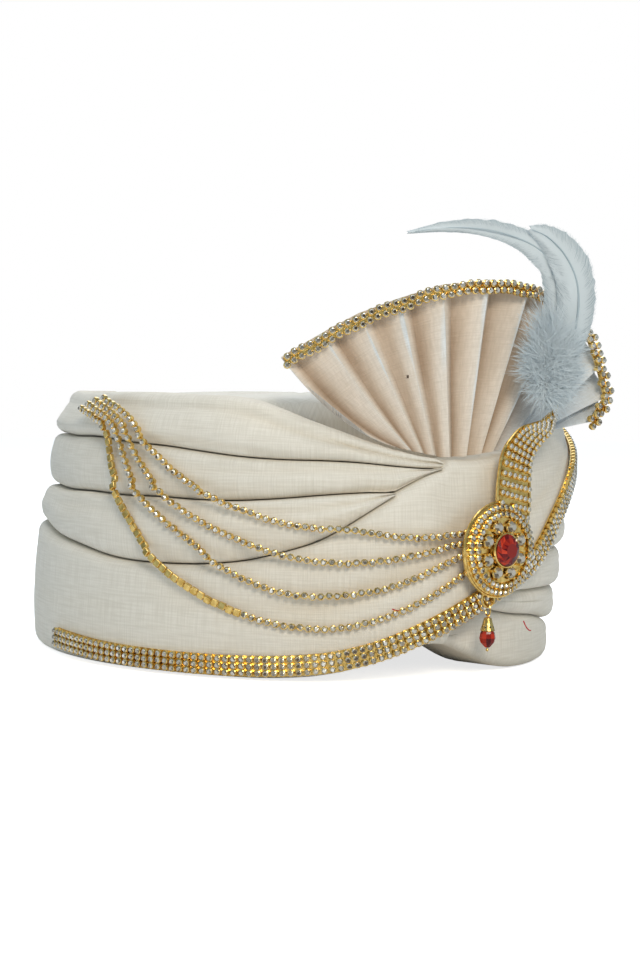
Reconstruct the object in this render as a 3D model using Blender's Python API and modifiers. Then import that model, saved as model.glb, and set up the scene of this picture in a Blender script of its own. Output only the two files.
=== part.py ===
"""A groom's tied turban with a pleated fan, a feather, a paisley brooch and cup chains.

Metres, +Z up. The front faces -Y and the wearer's right is -X. The turban stands on its rim at z = 0.
Angles run round the wall in degrees: 0 is the front, 90 the wearer's right, 180 the back, -90 the left.
"""

from math import atan2
from math import ceil
from math import cos
from math import degrees
from math import floor
from math import pi
from math import radians
from math import sin
from math import sqrt

import bmesh
import bpy
from mathutils import Matrix
from mathutils import Vector

# Sizes of the wound body
RIM_LENGTH = 0.290
RIM_WIDTH = 0.250
RIM_HEIGHT = 0.127
HEAD_LENGTH = 0.204
HEAD_WIDTH = 0.168
CAP_WALL = 0.003
CAP_RISE = 0.005
TIER_STEP = 0.010
FOLD_ROUND = 0.0045
CLOTH_GAP = 0.0005
SEAT_GAP = 0.0003

# Sizes of the fan
FAN_WIDTH = 0.200
FAN_RISE = 0.084
FAN_CLOTH = 0.0015
FAN_FOOT_INSET = 0.015
PLEAT_DEPTH = 0.0042
TRIM_WIDTH = 0.0065
TRIM_THICK = 0.0022
TRIM_INSET = 0.0052

# Sizes of the stone band and the cup chains
BAND_WIDTH = 0.0092
BAND_THICK = 0.0022
CHAIN_WIDTH = 0.0034
CHAIN_PITCH = 0.0085

# Sizes of the brooch and its drop
BROOCH_SIZE = 0.0424
BROOCH_SIDE = -0.0078
BROOCH_HEIGHT = RIM_HEIGHT * 0.4567
PLATE_THICK = 0.0015
DOME_RISE = 0.0029
CENTER_SEAT_RISE = 0.0012
CENTER_STONE = 0.0148
CLEAR_STONE = 0.0060
CLEAR_STONE_COUNT = 8
RING_SIZE = 0.0090
RING_WIRE = 0.0010
RING_SIDE = -0.0059
EYE_WIRE = 0.00066
EYE_WIDTH = 0.0038
EYE_HEIGHT = 0.0056
BEAD_LENGTH = 0.0085
BEAD_SIZE = 0.0074
CAP_LENGTH = 0.0060
BORE = 0.0012

# Sizes of the feather
PLUME_HEIGHT = 0.0820
PLUME_FACING = -20.0
BLADE_STEP = 0.0022
QUILL = 0.0024
DOWN_SIZE = 0.040
DOWN_DEPTH = 0.010
DOWN_FACING = -12.0

# Facets
GRID_STEP = 6
CAP_SIDES = 30
SEAM_ANGLE = 0.2

HALF_LENGTH = RIM_LENGTH / 2
HALF_WIDTH = RIM_WIDTH / 2
CORE_LENGTH = HEAD_LENGTH / 2 + CAP_WALL + CLOTH_GAP
CORE_WIDTH = HEAD_WIDTH / 2 + CAP_WALL + CLOTH_GAP

# Heights of the tier edges: angle, share of RIM_HEIGHT
TOP_EDGE = (
    (-180, 1.00), (-72, 1.00), (-54, 0.98), (-36, 0.93), (-18, 0.845), (-6, 0.79), (6, 0.770),
    (12, 0.768), (24, 0.805), (36, 0.875), (48, 0.940), (60, 0.985), (78, 1.00), (180, 1.00),
)
UPPER_EDGE = ((-180, 0.83), (-60, 0.82), (12, 0.741), (24, 0.750), (48, 0.765), (66, 0.789), (96, 0.827), (180, 0.83))
MIDDLE_EDGE = ((-180, 0.63), (-42, 0.60), (24, 0.660), (36, 0.643), (48, 0.630), (66, 0.615), (90, 0.620), (180, 0.63))
LOWER_EDGE = (
    (-180, 0.45), (-90, 0.43), (0, 0.43), (12, 0.760), (18, 0.715), (24, 0.668), (30, 0.594), (36, 0.512),
    (42, 0.472), (48, 0.440), (60, 0.392), (72, 0.383), (84, 0.385), (102, 0.428), (126, 0.490), (180, 0.45),
)
SECOND_FOLD = ((-180, 0.28), (-48, 0.275), (0, 0.295))
THIRD_FOLD = ((-180, 0.125), (-48, 0.125), (-12, 0.205), (6, 0.250))
RIM_EDGE = (
    (-180, 0.0), (-12, 0.0), (-6, 0.010), (0, 0.036), (6, 0.078), (12, 0.122), (18, 0.140),
    (24, 0.092), (30, 0.052), (36, 0.022), (48, 0.0), (180, 0.0),
)

# The front wrap's lower edge where it leaves the rim and climbs to the left: angle, share of RIM_HEIGHT
WRAP_EDGE = (
    (-84, 0.955), (-72, 0.90), (-60, 0.830), (-48, 0.755), (-36, 0.665), (-28, 0.590), (-18, 0.470),
    (-12, 0.385), (-6, 0.325), (0, 0.280), (6, 0.233), (12, 0.180), (18, 0.150),
)
WRAP_END = -84
WRAP_LEAVES_RIM = 12

# How far each tier stands out from the rim outline: angle, share of TIER_STEP
UPPER_OUT = ((-180, -0.90), (-60, -0.75), (0, -0.90), (60, -0.95), (180, -0.90))
MIDDLE_OUT = ((-180, -0.60), (-60, -0.45), (0, -0.55), (60, -0.75), (180, -0.60))
LOWER_OUT = ((-180, -0.25), (-40, -0.20), (30, -0.25), (180, -0.25))
FRONT_OUT = ((-84, -0.20), (-40, 0.0), (30, 0.0), (90, 0.10), (180, 0.05))
BASE_OUTS = (-0.99, -0.69, -0.42)
UPPER_LEAN = 0.65
TIER_LEAN = 0.10
FRONT_LEAN = ((-84, 0.55), (-48, 0.45), (12, 0.45), (18, 0.15), (180, 0.10))

# Centre line of the stone band: angle, share of RIM_HEIGHT
BAND_ROUTE = (
    (102, 0.070), (84, 0.052), (66, 0.046), (52, 0.048), (43, 0.058), (36, 0.075), (28, 0.112), (20, 0.167),
    (13, 0.222), (6, 0.282), (0, 0.330), (-7, 0.385), (-13, 0.456), (-18, 0.535), (-25, 0.625), (-34, 0.712),
    (-46, 0.795), (-58, 0.865), (-70, 0.930),
)

# Routes of the cup chains, few chosen points each: angle, share of RIM_HEIGHT
CHAIN_ROUTES = (
    ((91, 0.975), (83, 0.905), (77, 0.805), (68, 0.690), (57, 0.603), (45, 0.541), (35, 0.530), (25, 0.506),
     (17, 0.506), (9, 0.522)),
    ((94, 0.965), (85, 0.885), (79, 0.745), (72, 0.637), (62, 0.533), (48, 0.444), (36, 0.414), (24, 0.434),
     (15, 0.468), (9, 0.492)),
    ((97, 0.950), (87, 0.870), (82, 0.715), (75, 0.590), (66, 0.480), (57, 0.375), (46, 0.305), (36, 0.302),
     (25, 0.338), (16, 0.405), (9, 0.455)),
    ((100, 0.935), (90, 0.865), (87, 0.725), (81, 0.560), (73, 0.405), (62, 0.282), (51, 0.210), (40, 0.186),
     (29, 0.218), (18, 0.300), (9, 0.395)),
)

# Plan of the fan's edge, from its right-hand end to its left: shares of HALF_WIDTH and HALF_LENGTH
FAN_PLAN = ((-0.80, -0.492), (-0.476, -0.682), (-0.152, -0.876), (0.096, -0.924), (0.40, -0.937), (0.72, -0.945))

# Ridges of the fan: angle of the foot, share of FAN_WIDTH along the plan, share of FAN_RISE, belly share
FAN_RIDGES = (
    (23.0, 0.102, 0.560, 1.0), (20.0, 0.195, 0.690, 0.35), (17.0, 0.280, 0.800, 0.0), (14.0, 0.372, 0.885, 0.0),
    (10.0, 0.472, 0.965, 0.0), (5.5, 0.582, 1.000, 0.0), (1.0, 0.705, 0.985, 0.0), (-3.0, 0.810, 0.880, 0.0),
    (-7.0, 0.915, 0.725, 0.0), (-11.0, 0.955, 0.545, 0.0), (-15.0, 0.985, 0.370, 0.0), (-18.0, 0.940, 0.220, 0.0),
)
FAN_BELLY = 0.085
FAN_ROWS = (0.0, 0.2, 0.4, 0.6, 0.8, 1.0)
# One pleat from ridge to ridge: share of the pitch, share of half PLEAT_DEPTH
PLEAT_FORM = ((0.0, 1.0), (0.24, -1.0), (0.50, -0.45), (0.78, 0.45))
FOOT_DEPTH_SHARE = 0.45

# Outline of the brooch's tail: shares of BROOCH_SIZE to the side and up from the disc's centre
TAIL_OUTLINE = (
    (0.00, 0.20), (-0.02, 0.52), (0.00, 0.78), (0.06, 1.04), (0.20, 1.20), (0.33, 1.29), (0.50, 1.33), (0.66, 1.37),
    (0.80, 1.46), (0.87, 1.45), (0.83, 1.34), (0.78, 1.24), (0.62, 1.11), (0.49, 0.96), (0.46, 0.76), (0.46, 0.45),
    (0.42, 0.20),
)

# Spines of the two feather blades: side, height, half widths to the left and right, shares of PLUME_HEIGHT
LONG_BLADE = (
    (0.000, 0.00, 0.015, 0.015), (0.020, 0.12, 0.060, 0.050), (0.055, 0.28, 0.100, 0.080),
    (0.085, 0.46, 0.115, 0.085), (0.090, 0.62, 0.110, 0.080), (0.060, 0.765, 0.100, 0.070),
    (-0.025, 0.865, 0.080, 0.070), (-0.160, 0.940, 0.055, 0.065), (-0.370, 0.990, 0.035, 0.055),
    (-0.610, 0.995, 0.022, 0.035), (-0.860, 0.960, 0.006, 0.006),
)
BROAD_BLADE = (
    (0.010, 0.00, 0.015, 0.015), (0.050, 0.12, 0.060, 0.050), (0.105, 0.28, 0.110, 0.075),
    (0.150, 0.45, 0.130, 0.105), (0.170, 0.61, 0.130, 0.115), (0.145, 0.755, 0.115, 0.115),
    (0.070, 0.880, 0.085, 0.090), (-0.030, 0.965, 0.050, 0.055), (-0.135, 1.005, 0.012, 0.015),
)
BLADE_THICK = 0.0014
BLADE_EDGE = 0.0005
PLUME_FOOT_ANGLE = -13.0
# Plan place and height: shares of HALF_WIDTH, HALF_LENGTH and RIM_HEIGHT
PLUME_PLACE = (0.218, -1.000, 0.950)

# Locks of the down: direction in degrees from the right, reach and width as shares of DOWN_SIZE
DOWN_LOCKS = (
    (20, 0.46, 0.20), (62, 0.62, 0.22), (88, 0.70, 0.22), (112, 0.68, 0.22), (140, 0.52, 0.22),
    (172, 0.44, 0.22), (205, 0.44, 0.20), (238, 0.48, 0.22), (268, 0.46, 0.20), (318, 0.44, 0.20),
)
DOWN_PLACE = (0.178, -1.047, 1.110)
DOWN_HEAD_WIDTH = 0.56
DOWN_HEAD_HEIGHT = 0.86

# The brooch stands on the band, which lies on the cloth
BAND_FRONT = HALF_LENGTH + SEAT_GAP + BAND_THICK
PLATE_BACK = BAND_FRONT + SEAT_GAP
STONE_SEAT = PLATE_BACK + PLATE_THICK + DOME_RISE
CENTER_SEAT = STONE_SEAT + CENTER_SEAT_RISE
RING_DEPTH = PLATE_BACK + PLATE_THICK - RING_WIRE / 2 + SEAT_GAP
CENTER_STONE_DEPTH = CENTER_STONE * 0.28
CLEAR_STONE_DEPTH = CLEAR_STONE * 0.42
FRONT_REACH = CENTER_SEAT + SEAT_GAP + CENTER_STONE_DEPTH
RIGHT_REACH = HALF_WIDTH + TIER_STEP * 0.10 + SEAT_GAP + BAND_THICK
LEFT_REACH = HALF_WIDTH - TIER_STEP * 0.22
ORIGIN_SHIFT = Vector(((RIGHT_REACH - LEFT_REACH) / 2, (FRONT_REACH - HALF_LENGTH) / 2, 0.0))


def interpolate(rows, position, column=1):
    """Straight-line value of a table's column at a position along its first column."""
    rows = sorted(rows)
    if position <= rows[0][0]:
        return rows[0][column]
    for low, high in zip(rows, rows[1:]):
        if position <= high[0]:
            share = (position - low[0]) / (high[0] - low[0])
            return low[column] + share * (high[column] - low[column])
    return rows[-1][column]


def wrap_angle(angle):
    """Bring an angle into -180 to 180."""
    return (angle + 180.0) % 360.0 - 180.0


def edge_height(rows, angle):
    return interpolate(rows, wrap_angle(angle)) * RIM_HEIGHT


def grid_height(rows, angle):
    """Height of an edge as the facets give it, straight between the grid's angles."""
    low = floor(angle / GRID_STEP) * GRID_STEP
    high = low + GRID_STEP
    share = (angle - low) / GRID_STEP
    return edge_height(rows, low) * (1 - share) + edge_height(rows, high) * share


def wall_point(angle, out, height):
    """A point that stands out from the rim's outline by a distance."""
    turn = radians(angle)
    return Vector((-(HALF_WIDTH + out) * sin(turn), -(HALF_LENGTH + out) * cos(turn), height)) + ORIGIN_SHIFT


def core_point(angle, height):
    turn = radians(angle)
    return Vector((-CORE_WIDTH * sin(turn), -CORE_LENGTH * cos(turn), height)) + ORIGIN_SHIFT


def outward(angle):
    """Level unit vector square to the rim's outline."""
    turn = radians(angle)
    return Vector((-HALF_LENGTH * sin(turn), -HALF_WIDTH * cos(turn), 0.0)).normalized()


def smooth_points(points, parts):
    """Points of a smooth curve through the chosen ones, with a few parts to each span."""
    points = [Vector(point) for point in points]
    padded = [2 * points[0] - points[1]] + points + [2 * points[-1] - points[-2]]
    result = []
    for index in range(len(points) - 1):
        before, start, end, after = padded[index:index + 4]
        for part in range(parts):
            t = part / parts
            bend = (2 * before - 5 * start + 4 * end - after) * t * t
            twist = (3 * start - before - 3 * end + after) * t * t * t
            result.append((2 * start + (end - before) * t + bend + twist) / 2)
    result.append(points[-1])
    return result


def even_points(points, pitch):
    """The same path with points an even pitch apart."""
    lengths = [0.0]
    for start, end in zip(points, points[1:]):
        lengths.append(lengths[-1] + (end - start).length)
    count = max(2, ceil(lengths[-1] / pitch))
    result = []
    index = 0
    for step in range(count + 1):
        target = lengths[-1] * step / count
        while index < len(points) - 2 and lengths[index + 1] < target:
            index += 1
        span = lengths[index + 1] - lengths[index]
        result.append(points[index].lerp(points[index + 1], min(1.0, (target - lengths[index]) / span)))
    return result


def make_material(name, colour, roughness, metallic=0.0):
    material = bpy.data.materials.new(name)
    material.use_nodes = True
    shader = material.node_tree.nodes["Principled BSDF"]
    shader.inputs["Base Color"].default_value = (*colour, 1.0)
    shader.inputs["Roughness"].default_value = roughness
    shader.inputs["Metallic"].default_value = metallic
    return material


def add_object(name, data, material, collection):
    piece = bpy.data.objects.new(name, data)
    collection.objects.link(piece)
    if material:
        piece.data.materials.append(material)
    return piece


def mesh_from(bm, name):
    bmesh.ops.recalc_face_normals(bm, faces=bm.faces)
    mesh = bpy.data.meshes.new(name)
    bm.to_mesh(mesh)
    bm.free()
    return mesh


def loft(name, sections, closed=False):
    """A closed skin over sections that hold the same number of points."""
    bm = bmesh.new()
    rings = [[bm.verts.new(point) for point in section] for section in sections]
    pairs = list(zip(rings, rings[1:]))
    if closed:
        pairs.append((rings[-1], rings[0]))
    for ring, following in pairs:
        for index in range(len(ring)):
            after = (index + 1) % len(ring)
            bm.faces.new((ring[index], ring[after], following[after], following[index]))
    if not closed:
        bm.faces.new(rings[0])
        bm.faces.new(rings[-1])
    return mesh_from(bm, name)


def evaluated_mesh(piece):
    graph = bpy.context.evaluated_depsgraph_get()
    graph.update()
    return bpy.data.meshes.new_from_object(piece.evaluated_get(graph), depsgraph=graph)


def mesh_in_place(piece, collection):
    """Replace a curve or a modified object by its welded mesh in the same place."""
    mesh = evaluated_mesh(piece)
    bm = bmesh.new()
    bm.from_mesh(mesh)
    bmesh.ops.remove_doubles(bm, verts=bm.verts, dist=0.00001)
    bm.to_mesh(mesh)
    bm.free()
    name = piece.name
    place = piece.matrix_world.copy()
    bpy.data.objects.remove(piece)
    result = bpy.data.objects.new(name, mesh)
    collection.objects.link(result)
    result.matrix_world = place
    return result


def hide_cutter(cutter):
    cutter.hide_render = True
    cutter.display_type = "WIRE"


def combine(piece, other, operation="UNION"):
    modifier = piece.modifiers.new(operation.title(), "BOOLEAN")
    modifier.operation = operation
    modifier.object = other
    hide_cutter(other)


def fold_section(angle, bottom, top, out, lean):
    """One tier's section at an angle: flat edges on its neighbours and a rounded, bulging face."""
    height = top - bottom
    rounding = min(FOLD_ROUND, 0.42 * height)
    lean = min(lean, 0.5 * height)
    face = (
        (out - rounding, bottom),
        (out - 0.30 * rounding, bottom + 0.30 * rounding),
        (out, bottom + rounding),
        (out - 0.25 * lean, bottom + 0.55 * height),
        (out - 0.70 * lean, top - rounding),
        (out - lean - 0.30 * rounding, top - 0.30 * rounding),
        (out - lean - rounding, top),
    )
    outer = [wall_point(angle, reach, height) for reach, height in face]
    return [core_point(angle, bottom)] + outer + [core_point(angle, top)]


def grid_angles(first, last):
    """Angles of the facets from one end of a tier to the other."""
    start = ceil(first / GRID_STEP) * GRID_STEP
    angles = [first] if start > first else []
    angles += list(range(start, floor(last) + 1, GRID_STEP))
    if angles[-1] < last:
        angles.append(last)
    return angles


def upper_limit(rows, angle):
    """Height of a tier's top edge, which the front wrap's lower edge cuts off on the left."""
    turned = wrap_angle(angle)
    height = edge_height(rows, turned)
    if WRAP_END <= turned <= WRAP_LEAVES_RIM:
        height = min(height, edge_height(WRAP_EDGE, turned))
    return height


def make_tier(name, first, last, low_rows, high_rows, out_rows, lean, material, collection):
    half_gap = CLOTH_GAP / 2
    sections = []
    for angle in grid_angles(first, last):
        turned = wrap_angle(angle)
        bottom = edge_height(low_rows, turned)
        if 0 < turned < 90:
            bottom = max(bottom, edge_height(LOWER_EDGE, turned))
        top = upper_limit(high_rows, angle)
        out = interpolate(out_rows, turned) * TIER_STEP
        sections.append(fold_section(angle, bottom + half_gap, top - half_gap, out, lean * TIER_STEP))
    return add_object(name, loft(name, sections), material, collection)


def front_bottom(angle):
    if angle <= WRAP_LEAVES_RIM:
        return edge_height(WRAP_EDGE, angle) + CLOTH_GAP / 2
    return edge_height(RIM_EDGE, angle)


def front_top(angle):
    rows = TOP_EDGE if angle <= WRAP_LEAVES_RIM else LOWER_EDGE
    return edge_height(rows, angle) - CLOTH_GAP / 2


def make_front_wrap(material, collection):
    """Bottom tier of the right side, which crosses the front and climbs to the left."""
    sections = []
    for angle in grid_angles(WRAP_END, 180 - SEAM_ANGLE):
        out = interpolate(FRONT_OUT, angle) * TIER_STEP
        lean = interpolate(FRONT_LEAN, angle) * TIER_STEP
        sections.append(fold_section(angle, front_bottom(angle), front_top(angle), out, lean))
    return add_object("front_wrap", loft("front_wrap", sections), material, collection)


def base_levels(angle):
    """Heights between which the base tier's three folds bulge, lowest first."""
    turned = wrap_angle(angle)
    bottom = edge_height(RIM_EDGE, turned)
    top = upper_limit(LOWER_EDGE, angle) - CLOTH_GAP / 2
    least = FOLD_ROUND / 4
    second = min(edge_height(SECOND_FOLD, turned), top - least)
    third = min(edge_height(THIRD_FOLD, turned), second - least)
    return bottom, third, second, top


def make_base_tier(material, collection):
    """Lowest tier of the left side and back, wound in three folds that step out upwards."""
    sections = []
    for angle in grid_angles(180 + SEAM_ANGLE, 360 + WRAP_LEAVES_RIM):
        levels = base_levels(angle)
        face = []
        for low, high, out_share in zip(levels, levels[1:], BASE_OUTS):
            out = out_share * TIER_STEP
            rounding = min(FOLD_ROUND, 0.42 * (high - low))
            if low == levels[0]:
                face.append((out - rounding, low))
            face.append((out, low + 0.8 * rounding))
            face.append((out, high - 0.8 * rounding))
            face.append((out - 0.6 * rounding, high))
        outer = [wall_point(angle, reach, height) for reach, height in face]
        section = [core_point(angle, levels[0])] + outer + [core_point(angle, levels[-1])]
        sections.append(section)
    return add_object("wrap_base", loft("wrap_base", sections), material, collection)


def make_crown(material, collection):
    """Cap of one cloth thickness: an upright wall to the rim and a low dome."""
    shoulder = RIM_HEIGHT - FOLD_ROUND
    levels = ((1.0, 0.0), (1.0, 0.45), (1.0, 0.93), (0.965, 1.0))
    bm = bmesh.new()
    rings = []
    for width_share, height_share in levels:
        ring = []
        for side in range(CAP_SIDES):
            angle = 360.0 * side / CAP_SIDES
            foot = grid_height(RIM_EDGE, angle) + SEAT_GAP
            height = foot + (shoulder - foot) * height_share
            ring.append(bm.verts.new(cap_point(angle, width_share, height)))
        rings.append(ring)
    for width_share in (0.86, 0.62, 0.32):
        height = shoulder + CAP_RISE * sqrt(1 - width_share ** 2)
        rings.append([bm.verts.new(cap_point(360.0 * side / CAP_SIDES, width_share, height))
                      for side in range(CAP_SIDES)])
    for ring, following in zip(rings, rings[1:]):
        for index in range(CAP_SIDES):
            after = (index + 1) % CAP_SIDES
            bm.faces.new((ring[index], following[index], following[after], ring[after]))
    peak = bm.verts.new(cap_point(0.0, 0.0, shoulder + CAP_RISE))
    for index in range(CAP_SIDES):
        bm.faces.new((rings[-1][index], peak, rings[-1][(index + 1) % CAP_SIDES]))
    crown = add_object("crown", mesh_from(bm, "crown"), material, collection)
    shell = crown.modifiers.new("Cloth", "SOLIDIFY")
    shell.thickness = CAP_WALL
    shell.offset = -1.0
    shell.use_even_offset = True
    return crown


def cap_point(angle, width_share, height):
    turn = radians(angle)
    side = (CORE_WIDTH - CLOTH_GAP) * width_share
    front = (CORE_LENGTH - CLOTH_GAP) * width_share
    return Vector((-side * sin(turn), -front * cos(turn), height)) + ORIGIN_SHIFT


def fan_plan_point(along):
    """Plan point and outward direction on the fan's edge, a distance along its plan."""
    path = smooth_points([(side * HALF_WIDTH, front * HALF_LENGTH, 0.0) for side, front in FAN_PLAN], 8)
    for start, end in zip(path, path[1:]):
        length = (end - start).length
        if along <= length or end == path[-1]:
            direction = (end - start).normalized()
            return start + direction * along, Vector((direction.y, -direction.x, 0.0))
        along -= length
    return path[-1], Vector((0.0, -1.0, 0.0))


def ledge_height(point):
    """Height of the wall's top edge beneath a point."""
    angle = degrees(atan2(-point.x / HALF_WIDTH, -point.y / HALF_LENGTH))
    return grid_height(TOP_EDGE, angle)


def fan_point(ridge, row, depth_share):
    """A point of the fan: a ridge value, a share of the way up, and how far the pleat comes forward."""
    foot_angle, along, rise, belly = (interpolate(ridge[0], ridge[1], column) for column in (1, 2, 3, 4))
    edge, forward = fan_plan_point(along * FAN_WIDTH)
    turn = radians(foot_angle)
    foot = Vector((-(HALF_WIDTH - FAN_FOOT_INSET) * sin(turn), -(HALF_LENGTH - FAN_FOOT_INSET) * cos(turn), 0.0))
    depth = PLEAT_DEPTH / 2 * depth_share * (FOOT_DEPTH_SHARE + (1 - FOOT_DEPTH_SHARE) * row)
    point = foot.lerp(edge, row) + forward * depth
    low = ledge_height(foot + forward * depth) + FAN_CLOTH / 2 + 2.5 * SEAT_GAP
    high = RIM_HEIGHT * 0.77 + rise * FAN_RISE
    sag = belly * FAN_BELLY * FAN_RISE * 4 * row * (1 - row)
    point.z = low + (high - low) * row - sag
    return point + ORIGIN_SHIFT, forward


def fan_columns():
    """Positions along the ridges and pleat depths, left to right as the front is seen."""
    rows = [(index, *ridge) for index, ridge in enumerate(FAN_RIDGES)]
    columns = []
    for index in range(len(FAN_RIDGES) - 1):
        columns += [((rows, index + share), depth) for share, depth in PLEAT_FORM]
    columns.append(((rows, len(FAN_RIDGES) - 1), PLEAT_FORM[0][1]))
    return columns


def make_fan(material, collection):
    """Pleated cloth that fans out from the ledge behind the front wrap."""
    bm = bmesh.new()
    grid = [[bm.verts.new(fan_point(ridge, row, depth)[0]) for row in FAN_ROWS] for ridge, depth in fan_columns()]
    for column, following in zip(grid, grid[1:]):
        for index in range(len(FAN_ROWS) - 1):
            bm.faces.new((column[index], following[index], following[index + 1], column[index + 1]))
    fan = add_object("fan", mesh_from(bm, "fan"), material, collection)
    cloth = fan.modifiers.new("Cloth", "SOLIDIFY")
    cloth.thickness = FAN_CLOTH
    cloth.offset = 0.0
    cloth.use_even_offset = True
    return fan


def strip(name, centres, normals, width, thickness, material, collection):
    """A flat strip along a path, with its face towards each point's normal."""
    sections = []
    for index, centre in enumerate(centres):
        before = centres[max(0, index - 1)]
        after = centres[min(len(centres) - 1, index + 1)]
        along = (after - before).normalized()
        normal = (normals[index] - along * normals[index].dot(along)).normalized()
        across = along.cross(normal) * (width / 2)
        deep = normal * (thickness / 2)
        sections.append([centre - across - deep, centre + across - deep, centre + across + deep,
                         centre - across + deep])
    return add_object(name, loft(name, sections), material, collection)


def make_fan_trim(material, collection):
    centres = []
    normals = []
    lift = PLEAT_DEPTH / 2 + FAN_CLOTH + SEAT_GAP + TRIM_THICK / 2
    for ridge, _ in fan_columns()[::2]:
        edge, forward = fan_point(ridge, 1.0, 0.0)
        inner, _ = fan_point(ridge, 0.8, 0.0)
        centres.append(edge + (inner - edge).normalized() * TRIM_INSET + forward * lift)
        normals.append(forward)
    return strip("fan_trim", centres, normals, TRIM_WIDTH, TRIM_THICK, material, collection)


def route_samples(route, pitch):
    """Even steps along a route round the wall: angle and height in metres."""
    rough = smooth_points([(angle, share, 0.0) for angle, share in route], 8)
    scaled = [Vector((radians(point.x) * HALF_LENGTH, point.y * RIM_HEIGHT, 0.0)) for point in rough]
    return [(degrees(point.x / HALF_LENGTH), point.y) for point in even_points(scaled, pitch)]


def cloth_out(angle, height):
    """How far the cloth stands out at a place on the right side or the front."""
    front_out = interpolate(FRONT_OUT, angle)
    if height <= edge_height(LOWER_EDGE, angle) or angle < WRAP_LEAVES_RIM:
        return front_out * TIER_STEP
    if height <= edge_height(MIDDLE_EDGE, angle):
        return interpolate(LOWER_OUT, angle) * TIER_STEP
    if height <= edge_height(UPPER_EDGE, angle):
        return interpolate(MIDDLE_OUT, angle) * TIER_STEP
    return interpolate(UPPER_OUT, angle) * TIER_STEP


def chain_out(angle, height):
    """Reach of a chain that bridges the steps between tiers instead of dipping into them."""
    reach = CHAIN_WIDTH
    around = [(0, 0), (0, reach), (0, -reach), (3, 0), (-3, 0), (2, reach), (-2, reach), (2, -reach), (-2, -reach)]
    return max(cloth_out(angle + turn, height + rise) for turn, rise in around)


def make_chain(number, route, material, collection):
    """A cup chain as a round tube that lies on the cloth."""
    samples = route_samples(route, CHAIN_PITCH)
    reaches = [chain_out(angle, height) for angle, height in samples]
    points = []
    for index, (angle, height) in enumerate(samples):
        near = reaches[max(0, index - 1):index + 2]
        lift = max(reaches[index], sum(near) / len(near)) + CHAIN_WIDTH / 2 + SEAT_GAP
        points.append(wall_point(angle, lift, height))
    curve = bpy.data.curves.new("chain_%d" % number, "CURVE")
    curve.dimensions = "3D"
    curve.bevel_depth = CHAIN_WIDTH / 2
    curve.bevel_resolution = 2
    curve.use_fill_caps = True
    spline = curve.splines.new("POLY")
    spline.points.add(len(points) - 1)
    for place, point in zip(spline.points, points):
        place.co = (*point, 1.0)
    return add_object(curve.name, curve, material, collection)


def make_rim_band(material, collection):
    """Three-row stone band along the front wrap's lower edge."""
    centres = []
    normals = []
    for angle, height in route_samples(BAND_ROUTE, BAND_WIDTH):
        out = interpolate(FRONT_OUT, angle) * TIER_STEP + SEAT_GAP + BAND_THICK / 2
        centres.append(wall_point(angle, out, max(height, BAND_WIDTH / 2 + SEAT_GAP)))
        normals.append(outward(angle))
    return strip("rim_band", centres, normals, BAND_WIDTH, BAND_THICK, material, collection)


def turned(name, profile, sides, collection, material=None):
    """A shape turned round Z from a profile at +X that runs from top to bottom."""
    mesh = bpy.data.meshes.new(name)
    mesh.from_pydata([(x, 0.0, z) for x, z in profile], [(i, i + 1) for i in range(len(profile) - 1)], [])
    piece = add_object(name, mesh, material, collection)
    screw = piece.modifiers.new("Turn", "SCREW")
    screw.steps = sides
    screw.render_steps = sides
    screw.use_merge_vertices = True
    screw.merge_threshold = 0.00001
    screw.use_smooth_shade = False
    return piece


def face_front(piece, side, depth, height):
    """Turn a piece's +Z to the front and put its origin at a place on the brooch."""
    piece.matrix_world = Matrix.Translation(Vector((side, -depth, height)) + ORIGIN_SHIFT) @ Matrix.Rotation(
        pi / 2, 4, "X")
    return piece


def make_tail(collection):
    curve = bpy.data.curves.new("tail", "CURVE")
    curve.dimensions = "2D"
    curve.fill_mode = "BOTH"
    curve.extrude = PLATE_THICK / 2
    curve.resolution_u = 3
    spline = curve.splines.new("BEZIER")
    spline.bezier_points.add(len(TAIL_OUTLINE) - 1)
    for place, (side, rise) in zip(spline.bezier_points, TAIL_OUTLINE):
        place.co = (side * BROOCH_SIZE, rise * BROOCH_SIZE, 0.0)
        place.handle_left_type = "AUTO"
        place.handle_right_type = "AUTO"
    spline.use_cyclic_u = True
    piece = add_object("tail", curve, None, collection)
    face_front(piece, BROOCH_SIDE, PLATE_BACK + PLATE_THICK / 2, BROOCH_HEIGHT)
    return mesh_in_place(piece, collection)


def ring_center():
    """Centre of the soldered ring, whose top is inside the plate's lower edge."""
    drop = sqrt((BROOCH_SIZE / 2) ** 2 - RING_SIDE ** 2)
    height = BROOCH_HEIGHT - drop - RING_SIZE / 2 + 3.3 * RING_WIRE
    return Vector((BROOCH_SIDE + RING_SIDE, -RING_DEPTH, height)) + ORIGIN_SHIFT


def make_torus(name, major, minor, sides, facets, turn_axis, collection):
    bpy.ops.mesh.primitive_torus_add(
        major_radius=major, minor_radius=minor, major_segments=sides, minor_segments=facets)
    piece = bpy.context.object
    piece.name = name
    for holder in list(piece.users_collection):
        holder.objects.unlink(piece)
    collection.objects.link(piece)
    piece.data.transform(Matrix.Rotation(pi / 2, 4, turn_axis))
    return piece


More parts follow.
